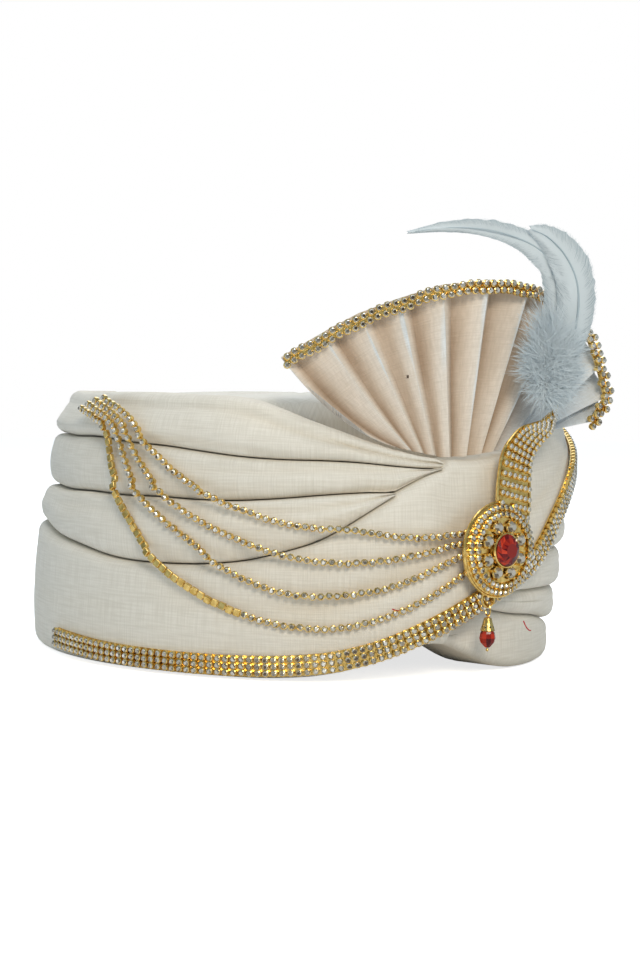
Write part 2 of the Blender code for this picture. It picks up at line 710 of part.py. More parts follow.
def make_brooch_plate(material, collection, cutters):
    """Domed paisley plate with flat stone seats, a tail and a soldered ring."""
    radius = BROOCH_SIZE / 2
    seat_outer = CENTER_STONE / 2 + CLEAR_STONE + 4 * SEAT_GAP
    center_seat = CENTER_STONE / 2
    top = PLATE_THICK + DOME_RISE
    profile = (
        (0.0, top + CENTER_SEAT_RISE), (center_seat - SEAT_GAP, top + CENTER_SEAT_RISE), (center_seat, top),
        (seat_outer, top), (0.5 * (seat_outer + radius), PLATE_THICK + 0.55 * DOME_RISE),
        (radius, PLATE_THICK), (radius, 0.0), (0.0, 0.0),
    )
    plate = turned("brooch_plate", profile, 32, collection, material)
    face_front(plate, BROOCH_SIDE, PLATE_BACK, BROOCH_HEIGHT)
    combine(plate, make_tail(cutters))
    ring = make_torus("ring", (RING_SIZE - RING_WIRE) / 2, RING_WIRE / 2, 18, 6, "X", cutters)
    ring.location = ring_center()
    combine(plate, ring)
    return plate


def make_stone(name, size, depth, sides, side, seat, height, material, collection):
    """A cut stone with a girdle, sloping facets and a flat table."""
    radius = size / 2 - SEAT_GAP
    profile = ((0.0, depth), (0.52 * radius, depth), (radius, 0.45 * depth), (radius, 0.25 * depth),
               (0.82 * radius, 0.0), (0.0, 0.0))
    stone = turned(name, profile, sides, collection, material)
    return face_front(stone, side, seat + SEAT_GAP, height)


def make_stones(ruby, crystal, collection):
    make_stone("center_stone", CENTER_STONE, CENTER_STONE_DEPTH, 12, BROOCH_SIDE, CENTER_SEAT, BROOCH_HEIGHT,
               ruby, collection)
    ring_radius = (CENTER_STONE + CLEAR_STONE) / 2 + 2 * SEAT_GAP
    for number in range(CLEAR_STONE_COUNT):
        turn = 2 * pi * (number + 0.5) / CLEAR_STONE_COUNT
        make_stone("clear_stone_%d" % (number + 1), CLEAR_STONE, CLEAR_STONE_DEPTH, 8,
                   BROOCH_SIDE + ring_radius * sin(turn), STONE_SEAT, BROOCH_HEIGHT + ring_radius * cos(turn),
                   crystal, collection)


def drop_pivot():
    """Centre of the ring's lowest wire, on which the drop swings."""
    return ring_center() - Vector((0.0, 0.0, (RING_SIZE - RING_WIRE) / 2))


def make_drop(gold, ruby, collection, cutters):
    """Bead on a wire with an eye through the ring, under a pierced cap, hung from an empty on the hinge."""
    pivot = drop_pivot()
    holder = bpy.data.objects.new("pendant_hinge", None)
    collection.objects.link(holder)
    holder.location = pivot
    eye_center = (RING_WIRE + EYE_WIRE) / 2 + SEAT_GAP - (EYE_HEIGHT - EYE_WIRE) / 2
    eye_bottom = eye_center - EYE_HEIGHT / 2
    cap_top = eye_bottom - SEAT_GAP
    cap_bottom = cap_top - CAP_LENGTH
    bead_top = cap_bottom + 0.15 * CAP_LENGTH
    bead_bottom = bead_top - BEAD_LENGTH
    wire = make_wire(eye_center, eye_bottom, bead_bottom, gold, collection, cutters, pivot)
    cap = make_cap(cap_top, cap_bottom, gold, collection, cutters, pivot)
    bead = make_bead(bead_top, bead_bottom, ruby, collection)
    for piece in (wire, cap, bead):
        piece.parent = holder
    return holder


def make_wire(eye_center, eye_bottom, bead_bottom, material, collection, cutters, pivot):
    """Eye, shank and end ball in one solid."""
    radius = EYE_WIRE / 2
    wire = make_torus("drop_wire", (EYE_WIDTH - EYE_WIRE) / 2, radius, 16, 6, "Y", collection)
    wire.data.materials.append(material)
    stretch = (EYE_HEIGHT - EYE_WIRE) / (EYE_WIDTH - EYE_WIRE)
    wire.data.transform(Matrix.Diagonal((1.0, 1.0, stretch, 1.0)))
    wire.data.transform(Matrix.Translation((0.0, 0.0, eye_center)))
    ball = 1.3 * BORE / 2
    end = bead_bottom - ball - SEAT_GAP
    profile = ((0.0, eye_bottom + 0.8 * EYE_WIRE), (radius, eye_bottom + 0.8 * EYE_WIRE), (radius, end + ball),
               (ball, end), (0.6 * ball, end - 0.8 * ball), (0.0, end - ball))
    shank = mesh_in_place(turned("shank", profile, 10, cutters), cutters)
    shank.location = pivot
    combine(wire, shank)
    return wire


def make_cap(cap_top, cap_bottom, material, collection, cutters, pivot):
    """Bell-shaped cap with a row of holes cut through its wall."""
    wall = 0.0005
    foot = 0.90 * BEAD_SIZE / 2
    neck = EYE_WIRE / 2 + SEAT_GAP
    length = cap_top - cap_bottom
    outer = ((neck, cap_top), (0.36 * foot + wall, cap_top - 0.06 * length), (0.70 * foot, cap_bottom + 0.55 * length),
             (foot, cap_bottom))
    inner = ((foot - wall, cap_bottom), (0.70 * foot - wall, cap_bottom + 0.52 * length),
             (0.36 * foot, cap_top - 0.06 * length - wall), (neck, cap_top - wall))
    cap = mesh_in_place(turned("drop_cap", outer + inner + outer[:1], 16, collection), collection)
    cap.data.materials.append(material)
    for number in range(8):
        turn = 2 * pi * (number + 0.5) / 8
        bpy.ops.mesh.primitive_cylinder_add(vertices=6, radius=0.15 * foot, depth=foot)
        hole = bpy.context.object
        hole.name = "cap_hole_%d" % number
        for holder in list(hole.users_collection):
            holder.objects.unlink(hole)
        cutters.objects.link(hole)
        middle = Vector((cos(turn) * foot * 0.85, sin(turn) * foot * 0.85, cap_bottom + 0.30 * length))
        hole.matrix_world = Matrix.Translation(pivot + middle) @ Matrix.Rotation(turn, 4, "Z") @ Matrix.Rotation(
            pi / 2, 4, "Y")
        combine(cap, hole, "DIFFERENCE")
    return cap


def make_bead(bead_top, bead_bottom, material, collection):
    """Faceted pear-shaped bead, bored for the wire."""
    radius = BEAD_SIZE / 2
    bore = BORE / 2
    length = bead_top - bead_bottom
    profile = ((bore, bead_top), (0.64 * radius, bead_top), (0.90 * radius, bead_bottom + 0.74 * length),
               (radius, bead_bottom + 0.50 * length), (0.84 * radius, bead_bottom + 0.26 * length),
               (0.30 * radius, bead_bottom), (bore, bead_bottom), (bore, bead_top))
    bead = mesh_in_place(turned("drop_bead", profile, 10, collection), collection)
    bead.data.materials.append(material)
    return bead


def place_matrix(place, facing):
    """Frame of a feather: +X to its right as seen from its front, +Y to its back, +Z up."""
    side, front, height = place
    origin = Vector((side * HALF_WIDTH, front * HALF_LENGTH, height * RIM_HEIGHT)) + ORIGIN_SHIFT
    return Matrix.Translation(origin) @ Matrix.Rotation(radians(facing), 4, "Z")


def plume_point(side, near, height):
    """A point given by its distances from the blades' foot to the side, to the front and up."""
    return place_matrix(PLUME_PLACE, PLUME_FACING) @ Vector((side, -near, height))


def make_blade(name, rows, near, collection, material=None):
    """One feather blade, thickest along its spine."""
    spine = smooth_points([(side, rise, 0.0) for side, rise, _, _ in rows], 2)
    widths = smooth_points([(left, right, 0.0) for _, _, left, right in rows], 2)
    sections = []
    for index, (centre, width) in enumerate(zip(spine, widths)):
        before = spine[max(0, index - 1)]
        after = spine[min(len(spine) - 1, index + 1)]
        along = (after - before).normalized()
        across = Vector((along.y, -along.x, 0.0))
        left = centre - across * width.x
        right = centre + across * width.y
        thick = BLADE_THICK / 2
        thin = BLADE_EDGE / 2
        outline = ((left, thin), (centre, thick), (right, thin), (right, -thin), (centre, -thick), (left, -thin))
        sections.append([plume_point(PLUME_HEIGHT * place.x, near + depth, PLUME_HEIGHT * place.y)
                         for place, depth in outline])
    return add_object(name, loft(name, sections), material, collection)


def make_quill(collection):
    """Short stem from the ledge to the foot of the blades."""
    foot = wall_point(PLUME_FOOT_ANGLE, -0.9 * TIER_STEP, 0.0)
    foot.z = ledge_height(foot - ORIGIN_SHIFT) + QUILL / 2 + SEAT_GAP
    middle = plume_point(0.0, 0.0, -0.02 * PLUME_HEIGHT)
    tip = plume_point(0.03 * PLUME_HEIGHT, BLADE_STEP / 2, 0.12 * PLUME_HEIGHT)
    curve = bpy.data.curves.new("quill", "CURVE")
    curve.dimensions = "3D"
    curve.bevel_depth = QUILL / 2
    curve.bevel_resolution = 2
    curve.use_fill_caps = True
    spline = curve.splines.new("POLY")
    spline.points.add(2)
    for place, point in zip(spline.points, (foot, middle, tip)):
        place.co = (*point, 1.0)
    return mesh_in_place(add_object("quill", curve, None, collection), collection)


def make_plume(material, collection, cutters):
    plume = make_blade("plume", LONG_BLADE, 0.0, collection, material)
    combine(plume, make_blade("broad_blade", BROAD_BLADE, BLADE_STEP, cutters))
    combine(plume, make_quill(cutters))
    return plume


def make_plume_down(material, collection, cutters):
    """Soft down in front of the blades: a flattened head with tapering locks."""
    bpy.ops.mesh.primitive_uv_sphere_add(segments=16, ring_count=8, radius=DOWN_SIZE / 2)
    head = bpy.context.object
    head.name = "plume_down"
    for holder in list(head.users_collection):
        holder.objects.unlink(head)
    collection.objects.link(head)
    head.data.materials.append(material)
    head.data.transform(Matrix.Diagonal((DOWN_HEAD_WIDTH, DOWN_DEPTH / DOWN_SIZE, DOWN_HEAD_HEIGHT, 1.0)))
    head.matrix_world = place_matrix(DOWN_PLACE, DOWN_FACING)
    for number, (direction, reach, width) in enumerate(DOWN_LOCKS):
        bpy.ops.mesh.primitive_cone_add(
            vertices=8, radius1=width * DOWN_SIZE / 2, radius2=0.02 * DOWN_SIZE, depth=reach * DOWN_SIZE)
        lock = bpy.context.object
        lock.name = "lock_%d" % number
        for holder in list(lock.users_collection):
            holder.objects.unlink(lock)
        cutters.objects.link(lock)
        lock.data.transform(Matrix.Translation((0.0, 0.0, reach * DOWN_SIZE / 2)))
        lock.data.transform(Matrix.Rotation(radians(90 - direction), 4, "Y"))
        lock.data.transform(Matrix.Diagonal((1.0, 0.8, 1.0, 1.0)))
        lock.matrix_world = head.matrix_world
        combine(head, lock)
    return head


def make_collection(name):
    collection = bpy.data.collections.new(name)
    bpy.context.scene.collection.children.link(collection)
    return collection


def main():
    for piece in list(bpy.data.objects):
        bpy.data.objects.remove(piece)
    turban = make_collection("tied_turban")
    cutters = make_collection("cutters")
    cream = make_material("cream_silk", (0.83, 0.79, 0.70), 0.55)
    fan_cloth = make_material("fan_silk", (0.80, 0.69, 0.58), 0.60)
    gold = make_material("gold_plate", (0.80, 0.58, 0.20), 0.25, 1.0)
    trim = make_material("stone_trim", (0.78, 0.66, 0.40), 0.22, 0.8)
    ruby = make_material("red_glass", (0.45, 0.02, 0.02), 0.08)
    crystal = make_material("clear_glass", (0.90, 0.90, 0.88), 0.05)
    feather = make_material("white_feather", (0.80, 0.85, 0.87), 0.75)

    make_crown(cream, turban)
    make_tier("wrap_upper", 18, 360 - 66, UPPER_EDGE, TOP_EDGE, UPPER_OUT, UPPER_LEAN, cream, turban)
    make_tier("wrap_middle", 18, 360 - 36, MIDDLE_EDGE, UPPER_EDGE, MIDDLE_OUT, TIER_LEAN, cream, turban)
    make_tier("wrap_lower", 30, 360 - 18, LOWER_EDGE, MIDDLE_EDGE, LOWER_OUT, TIER_LEAN, cream, turban)
    make_base_tier(cream, turban)
    make_front_wrap(cream, turban)
    make_fan(fan_cloth, turban)
    make_fan_trim(trim, turban)
    make_rim_band(trim, turban)
    for number, route in enumerate(CHAIN_ROUTES, 1):
        make_chain(number, route, trim, turban)
    make_brooch_plate(gold, turban, cutters)
    make_stones(ruby, crystal, turban)
    make_drop(gold, ruby, turban, cutters)
    make_plume(feather, turban, cutters)
    make_plume_down(feather, turban, cutters)


main()
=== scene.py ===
import random
from math import atan2
from math import ceil
from math import cos
from math import degrees
from math import floor
from math import pi
from math import radians
from math import sin
from math import sqrt

import bmesh
import bpy
from mathutils import Matrix
from mathutils import Vector
from mathutils import noise


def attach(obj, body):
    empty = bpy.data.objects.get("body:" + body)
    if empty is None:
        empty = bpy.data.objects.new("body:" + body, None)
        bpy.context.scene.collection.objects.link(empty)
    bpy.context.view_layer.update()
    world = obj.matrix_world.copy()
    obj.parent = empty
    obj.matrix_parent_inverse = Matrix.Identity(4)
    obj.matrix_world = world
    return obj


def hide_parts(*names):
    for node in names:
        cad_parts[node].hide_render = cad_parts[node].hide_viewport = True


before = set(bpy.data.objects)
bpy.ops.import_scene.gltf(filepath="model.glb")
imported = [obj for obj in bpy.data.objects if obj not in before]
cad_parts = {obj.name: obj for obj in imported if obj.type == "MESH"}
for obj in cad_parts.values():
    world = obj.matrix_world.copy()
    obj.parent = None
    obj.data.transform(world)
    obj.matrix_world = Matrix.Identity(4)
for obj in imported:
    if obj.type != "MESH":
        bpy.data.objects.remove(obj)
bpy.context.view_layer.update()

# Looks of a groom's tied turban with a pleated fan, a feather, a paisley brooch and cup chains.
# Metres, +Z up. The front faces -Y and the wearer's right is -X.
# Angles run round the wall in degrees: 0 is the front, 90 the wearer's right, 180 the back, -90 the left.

# Sizes of the wound body
RIM_LENGTH = 0.290
RIM_WIDTH = 0.250
RIM_HEIGHT = 0.127
HEAD_LENGTH = 0.204
HEAD_WIDTH = 0.168
CAP_WALL = 0.003
CAP_RISE = 0.005
TIER_STEP = 0.010
FOLD_ROUND = 0.0045
CLOTH_GAP = 0.0005
SEAT_GAP = 0.0003

# Sizes of the fan
FAN_WIDTH = 0.200
FAN_RISE = 0.084
FAN_CLOTH = 0.0015
FAN_FOOT_INSET = 0.015
PLEAT_DEPTH = 0.0042
TRIM_WIDTH = 0.0065
TRIM_INSET = 0.0052

# Sizes of the stone band and the cup chains
BAND_WIDTH = 0.0092
BAND_THICK = 0.0022
CHAIN_WIDTH = 0.0034

# Sizes of the brooch
BROOCH_SIZE = 0.0424
BROOCH_SIDE = -0.0078
BROOCH_HEIGHT = RIM_HEIGHT * 0.4567
PLATE_THICK = 0.0015
DOME_RISE = 0.0029
CENTER_SEAT_RISE = 0.0012
CENTER_STONE = 0.0148
CLEAR_STONE = 0.0060
CLEAR_STONE_COUNT = 8

# Sizes of the feather
PLUME_HEIGHT = 0.0820
PLUME_FACING = -20.0
BLADE_STEP = 0.0022
DOWN_SIZE = 0.040
DOWN_DEPTH = 0.010
DOWN_FACING = -12.0

# Facets
GRID_STEP = 6
SEAM_ANGLE = 0.2

HALF_LENGTH = RIM_LENGTH / 2
HALF_WIDTH = RIM_WIDTH / 2
CORE_LENGTH = HEAD_LENGTH / 2 + CAP_WALL + CLOTH_GAP
CORE_WIDTH = HEAD_WIDTH / 2 + CAP_WALL + CLOTH_GAP

# Heights of the tier edges: angle, share of RIM_HEIGHT
TOP_EDGE = (
    (-180, 1.00), (-72, 1.00), (-54, 0.98), (-36, 0.93), (-18, 0.845), (-6, 0.79), (6, 0.770),
    (12, 0.768), (24, 0.805), (36, 0.875), (48, 0.940), (60, 0.985), (78, 1.00), (180, 1.00),
)
UPPER_EDGE = (
    (-180, 0.83), (-60, 0.82), (12, 0.741), (24, 0.750), (48, 0.765), (66, 0.789), (96, 0.827), (180, 0.83),
)
MIDDLE_EDGE = (
    (-180, 0.63), (-42, 0.60), (24, 0.660), (36, 0.643), (48, 0.630), (66, 0.615), (90, 0.620), (180, 0.63),
)
LOWER_EDGE = (
    (-180, 0.45), (-90, 0.43), (0, 0.43), (12, 0.760), (18, 0.715), (24, 0.668), (30, 0.594), (36, 0.512),
    (42, 0.472), (48, 0.440), (60, 0.392), (72, 0.383), (84, 0.385), (102, 0.428), (126, 0.490), (180, 0.45),
)
SECOND_FOLD = ((-180, 0.28), (-48, 0.275), (0, 0.295))
THIRD_FOLD = ((-180, 0.125), (-48, 0.125), (-12, 0.205), (6, 0.250))
RIM_EDGE = (
    (-180, 0.0), (-12, 0.0), (-6, 0.010), (0, 0.036), (6, 0.078), (12, 0.122), (18, 0.140),
    (24, 0.092), (30, 0.052), (36, 0.022), (48, 0.0), (180, 0.0),
)

# The front wrap's lower edge where it leaves the rim and climbs to the left: angle, share of RIM_HEIGHT
WRAP_EDGE = (
    (-84, 0.955), (-72, 0.90), (-60, 0.830), (-48, 0.755), (-36, 0.665), (-28, 0.590), (-18, 0.470),
    (-12, 0.385), (-6, 0.325), (0, 0.280), (6, 0.233), (12, 0.180), (18, 0.150),
)
WRAP_END = -84
WRAP_LEAVES_RIM = 12

# How far each tier stands out from the rim outline: angle, share of TIER_STEP
UPPER_OUT = ((-180, -0.90), (-60, -0.75), (0, -0.90), (60, -0.95), (180, -0.90))
MIDDLE_OUT = ((-180, -0.60), (-60, -0.45), (0, -0.55), (60, -0.75), (180, -0.60))
LOWER_OUT = ((-180, -0.25), (-40, -0.20), (30, -0.25), (180, -0.25))
FRONT_OUT = ((-84, -0.20), (-40, 0.0), (30, 0.0), (90, 0.10), (180, 0.05))
BASE_OUTS = (-0.99, -0.69, -0.42)
UPPER_LEAN = 0.65
TIER_LEAN = 0.10
FRONT_LEAN = ((-84, 0.55), (-48, 0.45), (12, 0.45), (18, 0.15), (180, 0.10))

# Centre line of the stone band: angle, share of RIM_HEIGHT
BAND_ROUTE = (
    (102, 0.070), (84, 0.052), (66, 0.046), (52, 0.048), (43, 0.058), (36, 0.075), (28, 0.112), (20, 0.167),
    (13, 0.222), (6, 0.282), (0, 0.330), (-7, 0.385), (-13, 0.456), (-18, 0.535), (-25, 0.625), (-34, 0.712),
    (-46, 0.795), (-58, 0.865), (-70, 0.930),
)

# Routes of the cup chains, few chosen points each: angle, share of RIM_HEIGHT
CHAIN_ROUTES = (
    ((91, 0.975), (83, 0.905), (77, 0.805), (68, 0.690), (57, 0.603), (45, 0.541), (35, 0.530), (25, 0.506),
     (17, 0.506), (9, 0.522)),
    ((94, 0.965), (85, 0.885), (79, 0.745), (72, 0.637), (62, 0.533), (48, 0.444), (36, 0.414), (24, 0.434),
     (15, 0.468), (9, 0.492)),
    ((97, 0.950), (87, 0.870), (82, 0.715), (75, 0.590), (66, 0.480), (57, 0.375), (46, 0.305), (36, 0.302),
     (25, 0.338), (16, 0.405), (9, 0.455)),
    ((100, 0.935), (90, 0.865), (87, 0.725), (81, 0.560), (73, 0.405), (62, 0.282), (51, 0.210), (40, 0.186),
     (29, 0.218), (18, 0.300), (9, 0.395)),
)

# Plan of the fan's edge, from its right-hand end to its left: shares of HALF_WIDTH and HALF_LENGTH
FAN_PLAN = (
    (-0.80, -0.492), (-0.476, -0.682), (-0.152, -0.876), (0.096, -0.924), (0.40, -0.937), (0.72, -0.945),
)

# Ridges of the fan: angle of the foot, share of FAN_WIDTH along the plan, share of FAN_RISE, belly share
FAN_RIDGES = (
    (23.0, 0.102, 0.560, 1.0), (20.0, 0.195, 0.690, 0.35), (17.0, 0.280, 0.800, 0.0),
    (14.0, 0.372, 0.885, 0.0), (10.0, 0.472, 0.965, 0.0), (5.5, 0.582, 1.000, 0.0),
    (1.0, 0.705, 0.985, 0.0), (-3.0, 0.810, 0.880, 0.0), (-7.0, 0.915, 0.725, 0.0),
    (-11.0, 0.955, 0.545, 0.0), (-15.0, 0.985, 0.370, 0.0), (-18.0, 0.940, 0.220, 0.0),
)
FAN_BELLY = 0.085
FOOT_DEPTH_SHARE = 0.45

# Outline of the brooch's tail: shares of BROOCH_SIZE to the side and up from the disc's centre
TAIL_OUTLINE = (
    (0.00, 0.20), (-0.02, 0.52), (0.00, 0.78), (0.06, 1.04), (0.20, 1.20), (0.33, 1.29), (0.50, 1.33),
    (0.66, 1.37), (0.80, 1.46), (0.87, 1.45), (0.83, 1.34), (0.78, 1.24), (0.62, 1.11), (0.49, 0.96),
    (0.46, 0.76), (0.46, 0.45), (0.42, 0.20),
)

# Spines of the two feather blades: side, height, half widths to the left and right, shares of PLUME_HEIGHT
LONG_BLADE = (
    (0.000, 0.00, 0.015, 0.015), (0.020, 0.12, 0.060, 0.050), (0.055, 0.28, 0.100, 0.080),
    (0.085, 0.46, 0.115, 0.085), (0.090, 0.62, 0.110, 0.080), (0.060, 0.765, 0.100, 0.070),
    (-0.025, 0.865, 0.080, 0.070), (-0.160, 0.940, 0.055, 0.065), (-0.370, 0.990, 0.035, 0.055),
    (-0.610, 0.995, 0.022, 0.035), (-0.860, 0.960, 0.006, 0.006),
)
BROAD_BLADE = (
    (0.010, 0.00, 0.015, 0.015), (0.050, 0.12, 0.060, 0.050), (0.105, 0.28, 0.110, 0.075),
    (0.150, 0.45, 0.130, 0.105), (0.170, 0.61, 0.130, 0.115), (0.145, 0.755, 0.115, 0.115),
    (0.070, 0.880, 0.085, 0.090), (-0.030, 0.965, 0.050, 0.055), (-0.135, 1.005, 0.012, 0.015),
)
# Plan place and height: shares of HALF_WIDTH, HALF_LENGTH and RIM_HEIGHT
PLUME_PLACE = (0.218, -1.000, 0.950)
DOWN_PLACE = (0.178, -1.047, 1.110)
DOWN_HEAD_WIDTH = 0.56
DOWN_HEAD_HEIGHT = 0.86

# The brooch stands on the band, which lies on the cloth
BAND_FRONT = HALF_LENGTH + SEAT_GAP + BAND_THICK
PLATE_BACK = BAND_FRONT + SEAT_GAP
STONE_SEAT = PLATE_BACK + PLATE_THICK + DOME_RISE
CENTER_SEAT = STONE_SEAT + CENTER_SEAT_RISE
CENTER_STONE_DEPTH = CENTER_STONE * 0.28
FRONT_REACH = CENTER_SEAT + SEAT_GAP + CENTER_STONE_DEPTH
RIGHT_REACH = HALF_WIDTH + TIER_STEP * 0.10 + SEAT_GAP + BAND_THICK
LEFT_REACH = HALF_WIDTH - TIER_STEP * 0.22
ORIGIN_SHIFT = Vector(((RIGHT_REACH - LEFT_REACH) / 2, (FRONT_REACH - HALF_LENGTH) / 2, 0.0))

# Fineness of the dressed pieces
ANGLE_STEP = 2.0
FACE_STEPS = 12
FOLD_SWELL = 0.0010
EDGE_WANDER = 0.0011
CLOTH_RIPPLE = 0.0007
CROWN_GATHER = 0.0016
CROWN_SIDES = 144
# Painted shade on the cloth: its tone at the tier edges and next to the core, how many points up the face it
# takes to lighten, and the crease dip at which it is painted fully dark
PAINTED_EDGE_SHADE = 0.55
PAINTED_EDGE_SHADE_STEPS = 3
FULL_SHADE_DIP = 0.0070
GATHER_ANGLE = 16.0
GATHER_SPREAD = 62.0
WRAP_TUCK = 166.0

# Creases of the front wrap: how many, depth away from and at the crossing, seed
FRONT_CREASES = (1.8, 0.0005, 0.0032, 4.0)
# Short tucks: angle, share of the wrap's height, half length in degrees, depth
TUCKS = ((52, 0.90, 9, 0.0006), (61, 0.93, 7, 0.0004), (70, 0.80, 8, 0.0003))

# Tiers: name, first and last angle, lower and upper edge, reach, lean, creases
TIERS = (
    ("wrap_upper", 12, 360 - 66, UPPER_EDGE, TOP_EDGE, UPPER_OUT, UPPER_LEAN, (1.6, 0.0005, 0.0034, 1.0)),
    ("wrap_middle", 14, 360 - 36, MIDDLE_EDGE, UPPER_EDGE, MIDDLE_OUT, TIER_LEAN, (1.3, 0.0005, 0.0028, 2.0)),
    ("wrap_lower", 25, 360 - 18, LOWER_EDGE, MIDDLE_EDGE, LOWER_OUT, TIER_LEAN, (1.3, 0.0005, 0.0028, 3.0)),
)

# One fine pleat from ridge to ridge: share of the pitch, share of half PLEAT_DEPTH
FINE_PLEAT = (
    (0.0, 1.0), (0.10, 0.25), (0.22, -0.95), (0.30, -0.90),
    (0.50, -0.45), (0.78, 0.40), (0.92, 0.80), (1.0, 1.0),
)
PLEAT_STEPS = 12
FAN_STEPS = 26
FAN_TOP = 0.972
FAN_WANDER = 0.0012
PLEAT_SWELL = 1.5
# Tone of the fan's cloth, painted light and shade with a random part: everywhere, on the ridges (painted
# highlight, with painted shade in the valleys), towards the top (painted light, so painted shade towards the
# foot) and by chance
FAN_PAINTED_SHADING_AND_MOTTLE = (0.44, 0.42, 0.12, 0.26)

# Colour stops: place, colour. The first two tables are painted shade that follows the depth of the folds and,
# on the cream, the tier edges; the fan's last stop is a painted cool highlight on its ridges
CREAM_SHADE_STOPS = ((0.0, (0.68, 0.56, 0.41)), (0.55, (0.79, 0.72, 0.60)), (1.0, (0.84, 0.80, 0.72)))
FAN_SHADE_AND_HIGHLIGHT_STOPS = (
    (0.0, (0.40, 0.28, 0.19)), (0.30, (0.64, 0.52, 0.41)), (0.62, (0.80, 0.70, 0.60)),
    (0.90, (0.83, 0.76, 0.68)), (1.0, (0.80, 0.86, 0.91)),
)
# Painted cool light on the fan's left end, darker in its valleys as painted shade: where along the fan it
# begins and is full, then its stops
FAN_COOL_LIGHT = (0.118, 0.150, ((0.0, (0.52, 0.56, 0.60)), (1.0, (0.80, 0.85, 0.89))))
# Tint by the uneven threads, from thin places to thick ones
THREAD_STOPS = ((0.14, (0.88, 0.87, 0.85)), (0.36, (1.0, 1.0, 1.0)))
# Facets of the stones, painted reflections: dark, middle and light; the ruby's stops are its own red, darker
# and lighter as painted reflections
STONE_FACET_REFLECTIONS = ((0.10, 0.07, 0.04), (0.48, 0.44, 0.36), (0.95, 0.94, 0.90))
RUBY_COLOUR_AND_REFLECTIONS = ((0.05, 0.0, 0.001), (0.17, 0.002, 0.003), (0.62, 0.045, 0.012))

# Stones
CUP_PITCH = 0.0039
BAND_CUP = 0.0034
CHAIN_CUP = 0.0033
TRIM_CUP = 0.0035
TRIM_WAVE = 0.0005
ZIGZAG_COUNT = 10
ZIGZAG_WAVE = 0.0008
BACKS_END = 0.56
PAVE_CUP = 0.0030
PAVE_PITCH = 0.00285
# Rings of a cup and of its stone: share of the radius, share of the height, turn
CUP_ROWS = ((0.78, 0.0, 0.5), (1.0, 0.30, 0.5), (1.0, 0.60, 0.5), (0.74, 0.68, 0.5))
GEM_ROWS = ((0.76, 0.60, 0.0), (0.74, 0.74, 0.5), (0.42, 0.92, 1.0))
BACK_ROWS = ((0.96, 0.0), (1.02, 0.12), (0.98, 0.46), (0.84, 0.54))
# Rings of small stones on the disc: radius, turn
PAVE_RINGS = ((0.0157, 0.0), (0.0188, 0.5))
TAIL_ROWS = 20
ROW_SHARE = 0.00165
ROW_LIFT = 0.0004
RIBBON_THICK = 0.0006
LINK_LENGTH = CUP_PITCH * 0.7
LINK_WIDTH = 0.0011
LINK_HEIGHT = 0.0007
LINK_LIFT = 0.0005
EDGE_WIRE = 0.00065
BEZEL_WIRE = 0.0006
CUP_WIRE = 0.0004
PRONG_CUP = 0.0011
PRONG_WIDTH = 0.0009
PRONG_HEIGHT = 0.0023
LOOP_RADIUS = 0.0013
LOOP_WIRE = 0.00045
KNOB_SIZE = 0.0016

# Feather
FEATHER_FRONT = Vector((sin(radians(PLUME_FACING)), -cos(radians(PLUME_FACING)), 0.0))
SPINE_PARTS = 14
BARBS_PER_PART = 5
BARB_WIDTH = 0.00022
BARB_THIN = 0.00010
STEM_LIFT = 0.0005
STEM_FOOT = 0.0007
STEM_TIP = 0.0002
BARB_LIFT = 0.00012
STRAND_WIDTH = 0.00020
STRAND_THIN = 0.00016
SWEEP = 0.75
VANE_THICK = 0.00025
VANE_BELLY = 0.0012
DOWN_STRANDS = 4200
DOWN_REACH = 0.0150

# Thread ends: angle, share of RIM_HEIGHT, length, lean. Flecks: ridge position, share of the way up
THREAD_ENDS = ((25.0, 0.250, 0.0045, 0.2), (-8.0, 0.16, 0.0060, 0.8))
FLECKS = ((5.62, 0.93), (2.70, 0.50), (7.5, 0.90))

# Camera and lights
CAMERA_ANGLE = -40.0
CAMERA_HEIGHT = 0.125
CAMERA_FOCUS = 1970.0
CAMERA_PITCH = 2.37
CAMERA_YAW = 0.625
CAMERA_ROLL = 0.7
PHOTO_HEIGHT = 959.0
WORLD_STRENGTH = 0.36
FLOOR_GLOW = 0.75
# Lights: name, place, aim, size, power, colour
LIGHTS = (
    ("key", (-0.70, -1.30, 0.95), (0.0, -0.05, 0.06), 0.6, 12.0, (1.0, 0.90, 0.76)),
    ("side_fill", (-1.5, 0.1, 0.5), (0.0, 0.0, 0.08), 1.2, 0.8, (0.80, 0.93, 1.0)),
    ("top", (0.0, 0.1, 1.6), (0.0, 0.0, 0.1), 1.2, 8.0, (1.0, 1.0, 1.0)),
    ("back", (0.9, 1.3, 1.0), (0.0, 0.0, 0.08), 1.2, 8.0, (0.97, 0.98, 1.0)),
)


def interpolate(rows, position, column=1):
    """Straight-line value of a table's column at a position along its first column."""
    rows = sorted(rows)
    if position <= rows[0][0]:
        return rows[0][column]
    for low, high in zip(rows, rows[1:]):
        if position <= high[0]:
            share = (position - low[0]) / (high[0] - low[0])
            return low[column] + share * (high[column] - low[column])
    return rows[-1][column]


def wrap_angle(angle):
    """Bring an angle into -180 to 180."""
    return (angle + 180.0) % 360.0 - 180.0


def edge_height(rows, angle):
    return interpolate(rows, wrap_angle(angle)) * RIM_HEIGHT


def grid_height(rows, angle):
    """Height of an edge as the facets give it, straight between the grid's angles."""
    low = floor(angle / GRID_STEP) * GRID_STEP
    high = low + GRID_STEP
    share = (angle - low) / GRID_STEP
    return edge_height(rows, low) * (1 - share) + edge_height(rows, high) * share


def wall_point(angle, out, height):
    """A point that stands out from the rim's outline by a distance."""
    turn = radians(angle)
    return Vector((-(HALF_WIDTH + out) * sin(turn), -(HALF_LENGTH + out) * cos(turn), height)) + ORIGIN_SHIFT


